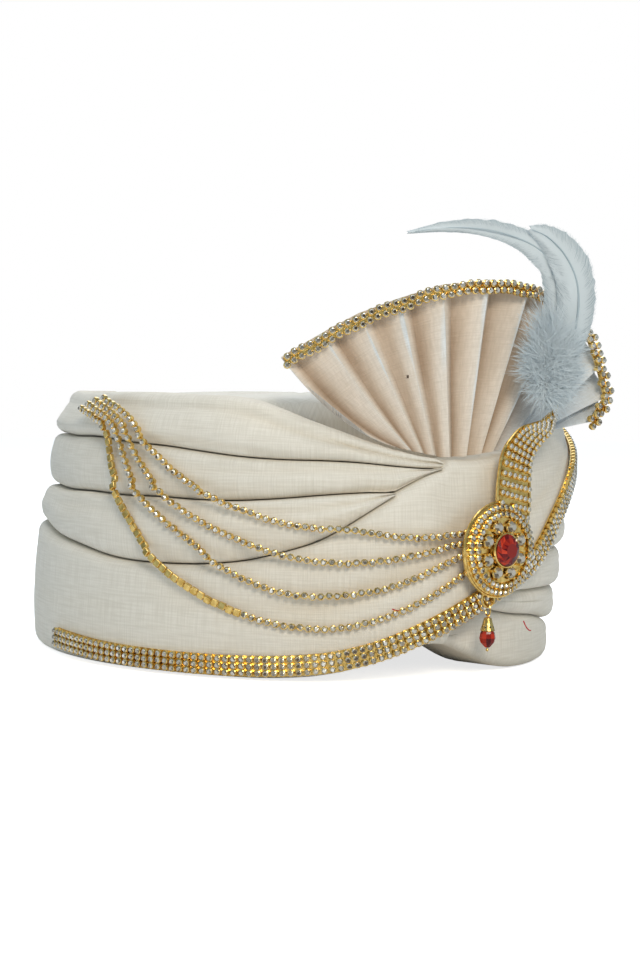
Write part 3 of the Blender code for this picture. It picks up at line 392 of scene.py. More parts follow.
def core_point(angle, height):
    turn = radians(angle)
    return Vector((-CORE_WIDTH * sin(turn), -CORE_LENGTH * cos(turn), height)) + ORIGIN_SHIFT


def outward(angle):
    """Level unit vector square to the rim's outline."""
    turn = radians(angle)
    return Vector((-HALF_LENGTH * sin(turn), -HALF_WIDTH * cos(turn), 0.0)).normalized()


def smooth_points(points, parts):
    """Points of a smooth curve through the chosen ones, with a few parts to each span."""
    points = [Vector(point) for point in points]
    padded = [2 * points[0] - points[1]] + points + [2 * points[-1] - points[-2]]
    result = []
    for index in range(len(points) - 1):
        before, start, end, after = padded[index:index + 4]
        for part in range(parts):
            t = part / parts
            bend = (2 * before - 5 * start + 4 * end - after) * t * t
            twist = (3 * start - before - 3 * end + after) * t * t * t
            result.append((2 * start + (end - before) * t + bend + twist) / 2)
    result.append(points[-1])
    return result


def even_points(points, pitch):
    """The same path with points an even pitch apart."""
    lengths = [0.0]
    for start, end in zip(points, points[1:]):
        lengths.append(lengths[-1] + (end - start).length)
    count = max(2, ceil(lengths[-1] / pitch))
    result = []
    index = 0
    for step in range(count + 1):
        target = lengths[-1] * step / count
        while index < len(points) - 2 and lengths[index + 1] < target:
            index += 1
        span = lengths[index + 1] - lengths[index]
        result.append(points[index].lerp(points[index + 1], min(1.0, (target - lengths[index]) / span)))
    return result


def cap_point(angle, width_share, height):
    turn = radians(angle)
    side = (CORE_WIDTH - CLOTH_GAP) * width_share
    front = (CORE_LENGTH - CLOTH_GAP) * width_share
    return Vector((-side * sin(turn), -front * cos(turn), height)) + ORIGIN_SHIFT


def fan_plan_point(along):
    """Plan point and outward direction on the fan's edge, a distance along its plan."""
    path = smooth_points([(side * HALF_WIDTH, front * HALF_LENGTH, 0.0) for side, front in FAN_PLAN], 8)
    for start, end in zip(path, path[1:]):
        length = (end - start).length
        if along <= length or end == path[-1]:
            direction = (end - start).normalized()
            return start + direction * along, Vector((direction.y, -direction.x, 0.0))
        along -= length
    return path[-1], Vector((0.0, -1.0, 0.0))


def ledge_height(point):
    """Height of the wall's top edge beneath a point."""
    angle = degrees(atan2(-point.x / HALF_WIDTH, -point.y / HALF_LENGTH))
    return grid_height(TOP_EDGE, angle)


def fan_point(ridge, row, depth_share):
    """A point of the fan: a ridge value, a share of the way up, and how far the pleat comes forward."""
    foot_angle, along, rise, belly = (interpolate(ridge[0], ridge[1], column) for column in (1, 2, 3, 4))
    edge, forward = fan_plan_point(along * FAN_WIDTH)
    turn = radians(foot_angle)
    side = (HALF_WIDTH - FAN_FOOT_INSET) * sin(turn)
    front = (HALF_LENGTH - FAN_FOOT_INSET) * cos(turn)
    foot = Vector((-side, -front, 0.0))
    depth = PLEAT_DEPTH / 2 * depth_share * (FOOT_DEPTH_SHARE + (1 - FOOT_DEPTH_SHARE) * row)
    point = foot.lerp(edge, row) + forward * depth
    low = ledge_height(foot + forward * depth) + FAN_CLOTH / 2 + 2.5 * SEAT_GAP
    high = RIM_HEIGHT * 0.77 + rise * FAN_RISE
    sag = belly * FAN_BELLY * FAN_RISE * 4 * row * (1 - row)
    point.z = low + (high - low) * row - sag
    return point + ORIGIN_SHIFT, forward


def route_samples(route, pitch):
    """Even steps along a route round the wall: angle and height in metres."""
    rough = smooth_points([(angle, share, 0.0) for angle, share in route], 8)
    scaled = [Vector((radians(point.x) * HALF_LENGTH, point.y * RIM_HEIGHT, 0.0)) for point in rough]
    return [(degrees(point.x / HALF_LENGTH), point.y) for point in even_points(scaled, pitch)]


def cloth_out(angle, height):
    """How far the cloth stands out at a place on the right side or the front."""
    front_out = interpolate(FRONT_OUT, angle)
    if height <= edge_height(LOWER_EDGE, angle) or angle < WRAP_LEAVES_RIM:
        return front_out * TIER_STEP
    if height <= edge_height(MIDDLE_EDGE, angle):
        return interpolate(LOWER_OUT, angle) * TIER_STEP
    if height <= edge_height(UPPER_EDGE, angle):
        return interpolate(MIDDLE_OUT, angle) * TIER_STEP
    return interpolate(UPPER_OUT, angle) * TIER_STEP


def chain_out(angle, height):
    """Reach of a chain that bridges the steps between tiers instead of dipping into them."""
    reach = CHAIN_WIDTH
    around = [(0, 0), (0, reach), (0, -reach), (3, 0), (-3, 0)]
    around += [(2, reach), (-2, reach), (2, -reach), (-2, -reach)]
    return max(cloth_out(angle + turn, height + rise) for turn, rise in around)


def place_matrix(place, facing):
    """Frame of a feather: +X to its right as seen from its front, +Y to its back, +Z up."""
    side, front, height = place
    origin = Vector((side * HALF_WIDTH, front * HALF_LENGTH, height * RIM_HEIGHT)) + ORIGIN_SHIFT
    return Matrix.Translation(origin) @ Matrix.Rotation(radians(facing), 4, "Z")


def plume_point(side, near, height):
    """A point given by its distances from the blades' foot to the side, to the front and up."""
    return place_matrix(PLUME_PLACE, PLUME_FACING) @ Vector((side, -near, height))


class Shape:
    """Gathers one piece: its points with flat places and tones of painted shade and light, and its faces with
    material numbers.
    """

    def __init__(self):
        self.points = []
        self.faces = []
        self.numbers = []
        self.places = []
        self.tones = []

    def add(self, points, faces, number=0, places=None, tones=None):
        start = len(self.points)
        self.points += [Vector(point) for point in points]
        self.faces += [tuple(start + index for index in face) for face in faces]
        self.numbers += [number] * len(faces)
        self.places += places or [(point[0], point[2]) for point in points]
        self.tones += tones or [1.0] * len(points)

    def grid(self, rings, number=0, places=None, caps=True, tones=None):
        """A skin over closed rings of points, with or without end caps."""
        count = len(rings[0])
        faces = []
        for row in range(len(rings) - 1):
            for index in range(count):
                after = (index + 1) % count
                low = row * count
                faces.append((low + index, low + after, low + count + after, low + count + index))
        if caps:
            last = (len(rings) - 1) * count
            faces.append(tuple(reversed(range(count))))
            faces.append(tuple(range(last, last + count)))
        flat = [point for ring in rings for point in ring]
        self.add(flat, faces, number, places, tones)

    def finish(self, name, materials, replaced=(), body="turban", sharp=40.0):
        mesh = bpy.data.meshes.new(name)
        mesh.from_pydata(self.points, [], self.faces)
        layer = mesh.uv_layers.new(name="cloth")
        for loop in mesh.loops:
            layer.data[loop.index].uv = self.places[loop.vertex_index]
        # The tone attribute carries the painted shade and highlight that the cloth materials read
        shade = mesh.color_attributes.new("tone", "FLOAT_COLOR", "POINT")
        for place, tone in zip(shade.data, self.tones):
            place.color = (tone, tone, tone, 1.0)
        for material in materials:
            mesh.materials.append(material)
        for polygon, number in zip(mesh.polygons, self.numbers):
            polygon.material_index = number
        bm = bmesh.new()
        bm.from_mesh(mesh)
        bmesh.ops.recalc_face_normals(bm, faces=bm.faces)
        bm.to_mesh(mesh)
        bm.free()
        if sharp:
            mesh.shade_smooth()
            mesh.set_sharp_from_angle(angle=radians(sharp))
        piece = bpy.data.objects.new(name, mesh)
        bpy.context.scene.collection.objects.link(piece)
        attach(piece, body)
        if replaced:
            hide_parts(*replaced)
        return piece


def smooth_step(share):
    share = min(1.0, max(0.0, share))
    return share * share * (3 - 2 * share)


def mix(low, high, share):
    return low + (high - low) * share


# Materials

def shader_material(name, colour, roughness, metallic=0.0, **extra):
    material = bpy.data.materials.new(name)
    material.use_nodes = True
    shader = material.node_tree.nodes["Principled BSDF"]
    shader.inputs["Base Color"].default_value = (*colour, 1.0)
    shader.inputs["Roughness"].default_value = roughness
    shader.inputs["Metallic"].default_value = metallic
    for socket, value in extra.items():
        shader.inputs[socket.replace("_", " ")].default_value = value
    return material, material.node_tree, shader


def node(tree, kind, **values):
    made = tree.nodes.new(kind)
    for name, value in values.items():
        if name in made.inputs:
            made.inputs[name].default_value = value
        else:
            setattr(made, name, value)
    return made


def thread_noise(tree, stretch):
    """Noise drawn out along one direction of the cloth, like uneven threads."""
    place = node(tree, "ShaderNodeTexCoord")
    mapping = node(tree, "ShaderNodeMapping")
    mapping.inputs["Scale"].default_value = (*stretch, 1.0)
    threads = node(tree, "ShaderNodeTexNoise", Scale=1.0, Detail=3.0)
    tree.links.new(place.outputs["UV"], mapping.inputs["Vector"])
    tree.links.new(mapping.outputs["Vector"], threads.inputs["Vector"])
    return threads.outputs["Fac"]


def ramp_of(tree, stops):
    """A colour ramp with the stops given as place and colour."""
    ramp = node(tree, "ShaderNodeValToRGB")
    elements = ramp.color_ramp.elements
    for place, colour in stops[1:-1]:
        elements.new(place).color = (*colour, 1.0)
    elements[0].position = stops[0][0]
    elements[0].color = (*stops[0][1], 1.0)
    elements[-1].position = stops[-1][0]
    elements[-1].color = (*stops[-1][1], 1.0)
    return ramp


def multiply(tree, first, second, factor=None):
    """Product of two colours, or the second one mixed in where a factor is given."""
    blend = node(tree, "ShaderNodeMix", data_type="RGBA")
    if factor:
        tree.links.new(factor, blend.inputs["Factor"])
    else:
        blend.blend_type = "MULTIPLY"
        blend.inputs["Factor"].default_value = 1.0
    tree.links.new(first, blend.inputs[6])
    tree.links.new(second, blend.inputs[7])
    return blend.outputs[2]


def cloth_material(name, tones, upright, level, bump, painted_cool_light=None):
    """Silk with painted shade that follows the depth of its folds, with fine threads upright and sparser ones
    level.
    """
    material, tree, shader = shader_material(name, tones[-1][1], 0.62, Sheen_Weight=0.2, Sheen_Roughness=0.45)
    shader.inputs["Specular IOR Level"].default_value = 0.3
    warp = thread_noise(tree, upright)
    weft = thread_noise(tree, level)
    both = node(tree, "ShaderNodeMath", operation="MULTIPLY")
    tree.links.new(warp, both.inputs[0])
    tree.links.new(weft, both.inputs[1])
    threads = ramp_of(tree, THREAD_STOPS)
    tree.links.new(both.outputs[0], threads.inputs["Fac"])
    # Painted shade and highlight: the tone attribute darkens creases, pleat valleys and tier edges and
    # lightens the fan's ridges
    depth = node(tree, "ShaderNodeAttribute", attribute_name="tone")
    folds = ramp_of(tree, tones)
    tree.links.new(depth.outputs["Fac"], folds.inputs["Fac"])
    colour = folds.outputs["Color"]
    # Painted cool light over the fan's left end, darker in the valleys by the tone as well
    if painted_cool_light:
        low, high, stops = painted_cool_light
        place = node(tree, "ShaderNodeTexCoord")
        split = node(tree, "ShaderNodeSeparateXYZ")
        span = node(tree, "ShaderNodeMapRange", interpolation_type="SMOOTHSTEP")
        span.inputs["From Min"].default_value = low
        span.inputs["From Max"].default_value = high
        pale = ramp_of(tree, stops)
        tree.links.new(place.outputs["UV"], split.inputs["Vector"])
        tree.links.new(split.outputs["X"], span.inputs["Value"])
        tree.links.new(depth.outputs["Fac"], pale.inputs["Fac"])
        colour = multiply(tree, colour, pale.outputs["Color"], span.outputs["Result"])
    tree.links.new(multiply(tree, colour, threads.outputs["Color"]), shader.inputs["Base Color"])
    relief = node(tree, "ShaderNodeBump", Strength=bump, Distance=0.0006)
    tree.links.new(both.outputs[0], relief.inputs["Height"])
    tree.links.new(relief.outputs["Normal"], shader.inputs["Normal"])
    return material


def facet_material(name, dark, middle, light, roughness, metallic, reflection_scale):
    """A cut stone with painted reflections: its facets differ in brightness by the way each one faces."""
    material, tree, shader = shader_material(
        name, middle, roughness, metallic, Coat_Weight=0.6, Coat_Roughness=0.03,
    )
    geometry = node(tree, "ShaderNodeNewGeometry")
    stretch = node(tree, "ShaderNodeVectorMath", operation="SCALE")
    stretch.inputs["Scale"].default_value = reflection_scale
    chance = node(tree, "ShaderNodeTexNoise", Scale=1.0, Detail=2.0)
    ramp = ramp_of(tree, ((0.36, dark), (0.47, middle), (0.62, light)))
    tree.links.new(geometry.outputs["True Normal"], stretch.inputs[0])
    tree.links.new(stretch.outputs["Vector"], chance.inputs["Vector"])
    tree.links.new(chance.outputs["Fac"], ramp.inputs["Fac"])
    tree.links.new(ramp.outputs["Color"], shader.inputs["Base Color"])
    return material


def uneven_metal(name, light, dark, roughness):
    material, tree, shader = shader_material(name, light, roughness, 1.0)
    place = node(tree, "ShaderNodeTexCoord")
    spots = node(tree, "ShaderNodeTexNoise", Scale=420.0, Detail=3.0)
    ramp = ramp_of(tree, ((0.38, dark), (0.60, light)))
    tree.links.new(place.outputs["Object"], spots.inputs["Vector"])
    tree.links.new(spots.outputs["Fac"], ramp.inputs["Fac"])
    tree.links.new(ramp.outputs["Color"], shader.inputs["Base Color"])
    return material


# Wound cloth

def level(rows, angle, lowest=-180.0):
    """Height of an edge, smoothed over a few degrees and a little uneven, the same for both neighbours."""
    turned = wrap_angle(angle)
    near = [edge_height(rows, max(lowest, turned + step)) for step in (-6, -3, 0, 3, 6)]
    wander = noise.noise(Vector((turned * 0.06, len(rows) * 3.7, 0.0)))
    return sum(near) / len(near) + EDGE_WANDER * wander * smooth_step(near[2] / (0.08 * RIM_HEIGHT))


def wrap_cut(rows, angle):
    turned = wrap_angle(angle)
    height = level(rows, angle)
    if WRAP_END <= turned <= WRAP_LEAVES_RIM:
        height = min(height, level(WRAP_EDGE, turned))
    return height


def fold_face(bottom, top, out, lean):
    """Reach and height of points up one rounded fold."""
    height = max(top - bottom, 0.0004)
    rounding = min(1.25 * FOLD_ROUND, 0.46 * height)
    lean = min(lean, 0.5 * height)
    face = []
    for step in range(6):
        turn = pi / 2 * step / 5
        face.append((out - rounding * (1 - sin(turn)), bottom + rounding * (1 - cos(turn))))
    for step in range(1, FACE_STEPS):
        share = step / FACE_STEPS
        swell = FOLD_SWELL * sin(pi * share) * min(1.0, height / 0.03)
        face.append((out - lean * share + swell, mix(bottom + rounding, top - rounding, share)))
    for step in range(6):
        turn = pi / 2 * step / 5
        face.append((out - lean - rounding * (1 - cos(turn)), top - rounding * (1 - sin(turn))))
    return face


def crease(angle, share, count, quiet, gathered, seed):
    """How deep the cloth dips at a place: narrow valleys that run along the fold."""
    turned = wrap_angle(angle)
    near = smooth_step(1 - abs(turned - GATHER_ANGLE) / GATHER_SPREAD)
    depth = mix(quiet, gathered, near)
    drift = 0.55 * noise.noise(Vector((turned * 0.022, seed, 0.0)))
    across = abs(sin(pi * (count * share + drift)))
    strength = 0.5 + 0.5 * noise.noise(Vector((turned * 0.035, share * 2.0, seed + 5.0)))
    fade = smooth_step(share / 0.12) * smooth_step((1 - share) / 0.12)
    valley = (1 - across) ** 2 * depth * (0.35 + strength) * fade
    ripple = noise.noise(Vector((turned * 0.085, share * 1.7, seed + 9.0)))
    return valley + CLOTH_RIPPLE * ripple * fade


def cloth_ring(shape, angles, section_at):
    """A closed skin over sections: each gives reach and height up the face."""
    rings = []
    places = []
    tones = []
    for angle in angles:
        face, dips = section_at(angle)
        bottom = face[0][1]
        top = face[-1][1]
        # Tones paint shade: dark at the tier edges and next to the core, and darker where a crease dips
        tones.append(PAINTED_EDGE_SHADE)
        for index, dip in enumerate(dips):
            near_edge = smooth_step(min(index + 1, len(dips) - index) / PAINTED_EDGE_SHADE_STEPS)
            tones.append(mix(PAINTED_EDGE_SHADE, 1.0, near_edge) * max(0.0, 1.0 - max(0.0, dip) / FULL_SHADE_DIP))
        tones.append(PAINTED_EDGE_SHADE)
        ring = [core_point(angle, bottom)] + [wall_point(angle, reach, height) for reach, height in face]
        ring.append(core_point(angle, top))
        along = radians(angle) * HALF_LENGTH
        rings.append(ring)
        places.append((along, bottom - 0.03))
        places += [(along, height - reach) for reach, height in face]
        places.append((along, top + 0.03))
    shape.grid(rings, places=places, tones=tones)


def steps_between(first, last, step):
    count = max(1, round((last - first) / step))
    return [mix(first, last, index / count) for index in range(count + 1)]


def dress_tier(name, first, last, low_rows, high_rows, out_rows, lean, creases, material):
    count, quiet, gathered, seed = creases

    def section_at(angle):
        turned = wrap_angle(angle)
        bottom = level(low_rows, turned)
        if 0 < turned < 90:
            bottom = max(bottom, level(LOWER_EDGE, turned, WRAP_LEAVES_RIM))
        bottom += CLOTH_GAP / 2
        top = max(wrap_cut(high_rows, angle) - CLOTH_GAP / 2, bottom + 0.0004)
        out = interpolate(out_rows, turned) * TIER_STEP
        face = fold_face(bottom, top, out, lean * TIER_STEP)
        shares = [(height - bottom) / (top - bottom) for _, height in face]
        dips = [crease(angle, share, count, quiet, gathered, seed) for share in shares]
        return [(reach - dip, height) for (reach, height), dip in zip(face, dips)], dips

    shape = Shape()
    cloth_ring(shape, steps_between(first, last, ANGLE_STEP), section_at)
    return shape.finish("cloth_" + name, [material], (name,), sharp=60.0)


def dress_front_wrap(material):
    count, quiet, gathered, seed = FRONT_CREASES

    def section_at(angle):
        if angle <= WRAP_LEAVES_RIM:
            bottom = level(WRAP_EDGE, angle) + CLOTH_GAP / 2
            top = level(TOP_EDGE, angle) - CLOTH_GAP / 2
        else:
            bottom = level(RIM_EDGE, angle)
            top = level(LOWER_EDGE, angle, WRAP_LEAVES_RIM) - CLOTH_GAP / 2
        out = interpolate(FRONT_OUT, angle) * TIER_STEP
        tuck = smooth_step((angle - WRAP_TUCK) / (180 - WRAP_TUCK))
        out = mix(out, BASE_OUTS[2] * TIER_STEP, tuck)
        lean = interpolate(FRONT_LEAN, angle) * TIER_STEP
        face = fold_face(bottom, top, out, lean)
        dressed = []
        dips = []
        for reach, height in face:
            share = (height - bottom) / (top - bottom)
            dip = crease(angle, share, count, quiet, gathered, seed)
            for row_angle, row_share, length, depth in TUCKS:
                along = (angle - row_angle) / length
                across = (share - row_share - 0.02 * along) / 0.035
                dip += depth * math_bump(along) * (math_bump(across - 0.6) - 0.8 * math_bump(across + 0.6))
            dressed.append((reach - dip, height))
            dips.append(dip)
        return dressed, dips

    shape = Shape()
    cloth_ring(shape, steps_between(WRAP_END, 180 - SEAM_ANGLE, ANGLE_STEP), section_at)
    return shape.finish("cloth_front_wrap", [material], ("front_wrap",), sharp=60.0)


def math_bump(place):
    return max(0.0, 1 - place * place) ** 2


def dress_base(material):
    def section_at(angle):
        turned = wrap_angle(angle)
        bottom = level(RIM_EDGE, turned)
        top = wrap_cut(LOWER_EDGE, angle) - CLOTH_GAP / 2
        least = FOLD_ROUND / 4
        second = min(level(SECOND_FOLD, turned), top - least)
        third = min(level(THIRD_FOLD, turned), second - least)
        levels = (bottom, third, second, top)
        face = []
        dips = []
        for low, high, out_share in zip(levels, levels[1:], BASE_OUTS):
            out = out_share * TIER_STEP
            rounding = min(1.2 * FOLD_ROUND, 0.46 * (high - low))
            for step in range(5):
                turn = pi / 2 * step / 4
                face.append((out - rounding * (1 - sin(turn)), low + rounding * (1 - cos(turn))))
            for step in range(1, 4):
                share = step / 4
                dip = crease(angle, share, 1.3, 0.0004, 0.0010, out_share * 7)
                face.append((out - dip, mix(low + rounding, high - rounding, share)))
            for step in range(5):
                turn = pi / 2 * step / 4
                face.append((out - rounding * (1 - cos(turn)), high - rounding * (1 - sin(turn))))
            # These dips only set the tone: painted shade near each fold's lower and upper edge
            dips += [0.0014, 0.0008, 0.0003, 0.0, 0.0, 0.0, 0.0, 0.0, 0.0, 0.0, 0.0002, 0.0006, 0.0012]
        return face, dips

    shape = Shape()
    cloth_ring(shape, steps_between(180 + SEAM_ANGLE, 360 + WRAP_LEAVES_RIM, ANGLE_STEP), section_at)
    return shape.finish("cloth_wrap_base", [material], ("wrap_base",), sharp=60.0)


def dress_crown(material):
    """The cap, with soft gathers that run from its edge to the middle."""
    shoulder = RIM_HEIGHT - FOLD_ROUND
    profile = [(1.0, share) for share in (0.0, 0.3, 0.6, 0.93)] + [(0.965, 1.0)]
    shape = Shape()

    def ring(width_share, height_share, rise, inner):
        points = []
        for side in range(CROWN_SIDES):
            angle = 360.0 * side / CROWN_SIDES
            foot = level(RIM_EDGE, angle) + SEAT_GAP
            height = foot + (shoulder - foot) * height_share + rise
            share = width_share - inner / CORE_WIDTH
            gather = 0.0
            if rise:
                turn = noise.noise(Vector((angle * 0.16, 0.0, 3.0)))
                gather = CROWN_GATHER * turn * smooth_step(width_share / 0.3)
            points.append(cap_point(angle, share, height - inner * (height_share > 0.99) + gather))
        return points

    outer = [ring(width, height, 0.0, 0.0) for width, height in profile]
    domed = [(width, CAP_RISE * sqrt(1 - width * width)) for width in (0.9, 0.8, 0.68, 0.54, 0.38, 0.2, 0.06)]
    outer += [ring(width, 1.0, rise, 0.0) for width, rise in domed]
    inner = [ring(max(width, 0.09), 1.0, rise, CAP_WALL) for width, rise in reversed(domed)]
    inner += [ring(width, height, 0.0, CAP_WALL) for width, height in reversed(profile)]
    rings = outer + inner + [outer[0]]
    places = [(point.x, point.y) for row in rings for point in row]
    shape.grid(rings, places=places, caps=False)
    middle = (len(outer) - 1) * CROWN_SIDES
    between = middle + CROWN_SIDES
    after = between + CROWN_SIDES
    shape.faces = [face for face in shape.faces if not set(face) <= set(range(middle, after))]
    shape.faces.append(tuple(range(middle, between)))
    shape.faces.append(tuple(reversed(range(between, after))))
    shape.numbers = [0] * len(shape.faces)
    return shape.finish("cloth_crown", [material], ("crown",), sharp=60.0)


# Pleated fan

def pleat_depth(share):
    return interpolate(FINE_PLEAT, share)


def fan_grid():
    """Positions over the ridges and how far each column stands forward."""
    rows = [(index, *ridge) for index, ridge in enumerate(FAN_RIDGES)]
    columns = []
    for index in range(len(FAN_RIDGES) - 1):
        for step in range(PLEAT_STEPS):
            share = step / PLEAT_STEPS
            columns.append(((rows, index + share), pleat_depth(share)))
    columns.append(((rows, len(FAN_RIDGES) - 1), 1.0))
    return columns


def dress_fan(material):
    """The pleated cloth, with painted shade in its valleys and towards its foot and a painted highlight on
    its ridges.
    """
    columns = fan_grid()
    base, pleat_shading, high, uneven = FAN_PAINTED_SHADING_AND_MOTTLE
    rings = []
    places = []
    tones = []
    for number, (ridge, depth) in enumerate(columns):
        front = []
        back = []
        column = []
        shades = []
        for step in range(FAN_STEPS + 1):
            row = FAN_TOP * step / FAN_STEPS
            point, forward = fan_point(ridge, row, depth * PLEAT_SWELL)
            wander = noise.noise(Vector((number * 0.21, row * 2.4, 7.0)))
            point += forward * (FAN_WANDER * wander * row)
            front.append(point + forward * FAN_CLOTH / 3)
            back.append(point - forward * FAN_CLOTH / 3)
            column.append((number * FAN_WIDTH / len(columns), row * FAN_RISE))
            # Painted shade and highlight: lighter on the ridges and towards the top, darker in the valleys,
            # with a random unevenness
            shades.append(min(1.0, max(0.0, base + pleat_shading * depth + high * row + uneven * wander)))
        rings.append(front + back[::-1])
        places += column + column[::-1]
        tones += shades + shades[::-1]
    shape = Shape()
    shape.grid(rings, places=places, tones=tones)
    return shape.finish("cloth_fan", [material], ("fan",), sharp=50.0)


# Stones in cups

def row_frame(place, along, normal):
    """Frame with +X along the row and +Z out of the cloth."""
    along = along.normalized()
    normal = (normal - along * normal.dot(along)).normalized()
    across = normal.cross(along)
    turn = Matrix((along, across, normal)).transposed().to_4x4()
    return Matrix.Translation(place) @ turn


def ring_points(radius, height, sides, turn=0.0):
    angles = [2 * pi * (side + turn) / sides for side in range(sides)]
    return [Vector((radius * cos(angle), radius * sin(angle), height)) for angle in angles]


def placed_rings(place, size, rows):
    """Eight-sided rings of a cup or stone: share of the radius, share of the height, turn."""
    return [[place @ point for point in ring_points(size / 2 * wide, size * high, 8, turn)]
            for wide, high, turn in rows]


def add_cup(shape, place, size, stone=True):
    """A gold cup with a faceted stone, or its plain back."""
    if stone:
        shape.grid(placed_rings(place, size, CUP_ROWS), 0)
        shape.grid(placed_rings(place, size, GEM_ROWS), 1)
        return
    rings = []
    for wide, high in BACK_ROWS:
        reach = size / 2 * wide
        short = 0.8 * reach
        corners = ((reach, short), (short, reach), (-short, reach), (-reach, short),
                   (-reach, -short), (-short, -reach), (short, -reach), (reach, -short))
        rings.append([place @ Vector((x, y, size * high)) for x, y in corners])
    shape.grid(rings, 0)


def add_bar(shape, place, length, width, height, number=0):
    corners = [(x * length / 2, y * width / 2, z * height) for z in (0, 1) for x, y in
               ((1, 1), (-1, 1), (-1, -1), (1, -1))]
    points = [place @ Vector(corner) for corner in corners]
    shape.grid([points[:4], points[4:]], number)


def add_ribbon(shape, places, width):
    rings = []
    for place in places:
        rings.append([place @ Vector((0.0, side * width / 2, up * RIBBON_THICK))
                      for side, up in ((1, 0), (1, 1), (-1, 1), (-1, 0))])
    shape.grid(rings)


def path_frames(points, normals):
    frames = []
    for index, point in enumerate(points):
        before = points[max(0, index - 1)]
        after = points[min(len(points) - 1, index + 1)]
        frames.append(row_frame(point, after - before, normals[index]))
    return frames


def dress_band(gold, stone):
    """Three rows of cups on a gold ribbon along the front wrap's lower edge."""
    points = []
    normals = []
    for angle, height in route_samples(BAND_ROUTE, CUP_PITCH):
        out = interpolate(FRONT_OUT, angle) * TIER_STEP + SEAT_GAP
        points.append(wall_point(angle, out, max(height, BAND_WIDTH / 2 + SEAT_GAP)))
        normals.append(outward(angle))
    frames = path_frames(points, normals)
    shape = Shape()
    add_ribbon(shape, frames, BAND_WIDTH)
    for index, place in enumerate(frames):
        for row in (-1, 0, 1):
            jitter = 0.00025 * noise.noise(Vector((index * 1.7, row * 5.0, 0.0)))
            spot = Matrix.Translation((jitter, row * BAND_WIDTH / 3 * 0.98 + jitter, ROW_LIFT))
            add_cup(shape, place @ spot, BAND_CUP)
    return shape.finish("stone_band", [gold, stone], ("rim_band",), sharp=25.0)


def dress_trim(gold, stone):
    """Two wavy rows of cups along the fan's edge."""
    points = []
    normals = []
    lift = PLEAT_DEPTH / 2 + FAN_CLOTH + SEAT_GAP
    columns = fan_grid()
    for ridge, _ in columns[::2]:
        edge, forward = fan_point(ridge, 1.0, 0.0)
        inner, _ = fan_point(ridge, 0.8, 0.0)
        points.append(edge + (inner - edge).normalized() * TRIM_INSET + forward * lift)
        normals.append(forward)
    smooth = even_points(smooth_points(points, 3), CUP_PITCH)
    turned = []
    for point in smooth:
        nearest = min(range(len(points)), key=lambda index: (points[index] - point).length)
        turned.append(normals[nearest])
    frames = path_frames(smooth, turned)
    shape = Shape()
    add_ribbon(shape, frames, TRIM_WIDTH * 0.55)
    last = len(frames) - 1
    for index, place in enumerate(frames):
        wave = TRIM_WAVE * sin(index * 1.15)
        if last - index < ZIGZAG_COUNT:
            wave = ZIGZAG_WAVE if index % 2 else -ZIGZAG_WAVE
        for row in (-1, 1):
            shift = 0.5 * CUP_PITCH * (row > 0)
            spot = Matrix.Translation((shift, row * ROW_SHARE + wave, ROW_LIFT))
            add_cup(shape, place @ spot, TRIM_CUP)
    return shape.finish("stone_fan_trim", [gold, stone], ("fan_trim",), sharp=25.0)


def dress_chain(number, route, gold, stone, chance):
    """Cups joined by short bars. The lowest chain is twisted and shows its backs on the wearer's right."""
    samples = route_samples(route, CUP_PITCH)
    reaches = [chain_out(angle, height) for angle, height in samples]
    points = []
    normals = []
    for index, (angle, height) in enumerate(samples):
        near = reaches[max(0, index - 4):index + 5]
        lift = max(max(reaches[max(0, index - 1):index + 2]), sum(near) / len(near)) + SEAT_GAP
        points.append(wall_point(angle, lift + ROW_LIFT, height))
        normals.append(outward(angle))
    frames = path_frames(points, normals)
    shape = Shape()
    for index, place in enumerate(frames):
        share = index / (len(frames) - 1)
        back = number == 4 and 0.10 < share < BACKS_END
        twist = 0.30 * (chance.random() - 0.5)
        sway = 0.0004 * (chance.random() - 0.5)
        spot = place @ Matrix.Translation((0.0, sway, 0.0)) @ Matrix.Rotation(twist, 4, "X")
        add_cup(shape, spot, CHAIN_CUP, not back)
        if index < len(frames) - 1:
            middle = (points[index] + points[index + 1]) / 2
            link = row_frame(middle, points[index + 1] - points[index], normals[index])
            raised = link @ Matrix.Translation((0.0, 0.0, LINK_LIFT))
            add_bar(shape, raised, LINK_LENGTH, LINK_WIDTH, LINK_HEIGHT)
    name = "chain_%d" % number
    return shape.finish("stone_" + name, [gold, stone], (name,), sharp=25.0)


# Brooch

def brooch_place(side, rise, depth):
    """A place on the brooch: to the side and up from the disc's centre, and out from the plate's back."""
    point = Vector((BROOCH_SIDE + side, -(PLATE_BACK + depth), BROOCH_HEIGHT + rise)) + ORIGIN_SHIFT
    return Matrix.Translation(point) @ Matrix.Rotation(pi / 2, 4, "X")


def dome_height(radius):
    """Height of the plate's face over its back at a distance from the centre."""
    seat_outer = CENTER_STONE / 2 + CLEAR_STONE + 4 * SEAT_GAP
    edge = BROOCH_SIZE / 2
    rows = ((0.0, PLATE_THICK + DOME_RISE), (seat_outer, PLATE_THICK + DOME_RISE),
            (0.5 * (seat_outer + edge), PLATE_THICK + 0.55 * DOME_RISE), (edge, PLATE_THICK))
    return interpolate(rows, radius)


def tail_sides():
    middle = len(TAIL_OUTLINE) // 2
    left = smooth_points([(*point, 0.0) for point in TAIL_OUTLINE[:middle + 1]], 8)
    right = smooth_points([(*point, 0.0) for point in reversed(TAIL_OUTLINE[middle + 1:])], 8)
    return left, right


def along_path(points, share):
    place = share * (len(points) - 1)
    index = min(len(points) - 2, int(place))
    return points[index].lerp(points[index + 1], place - index)


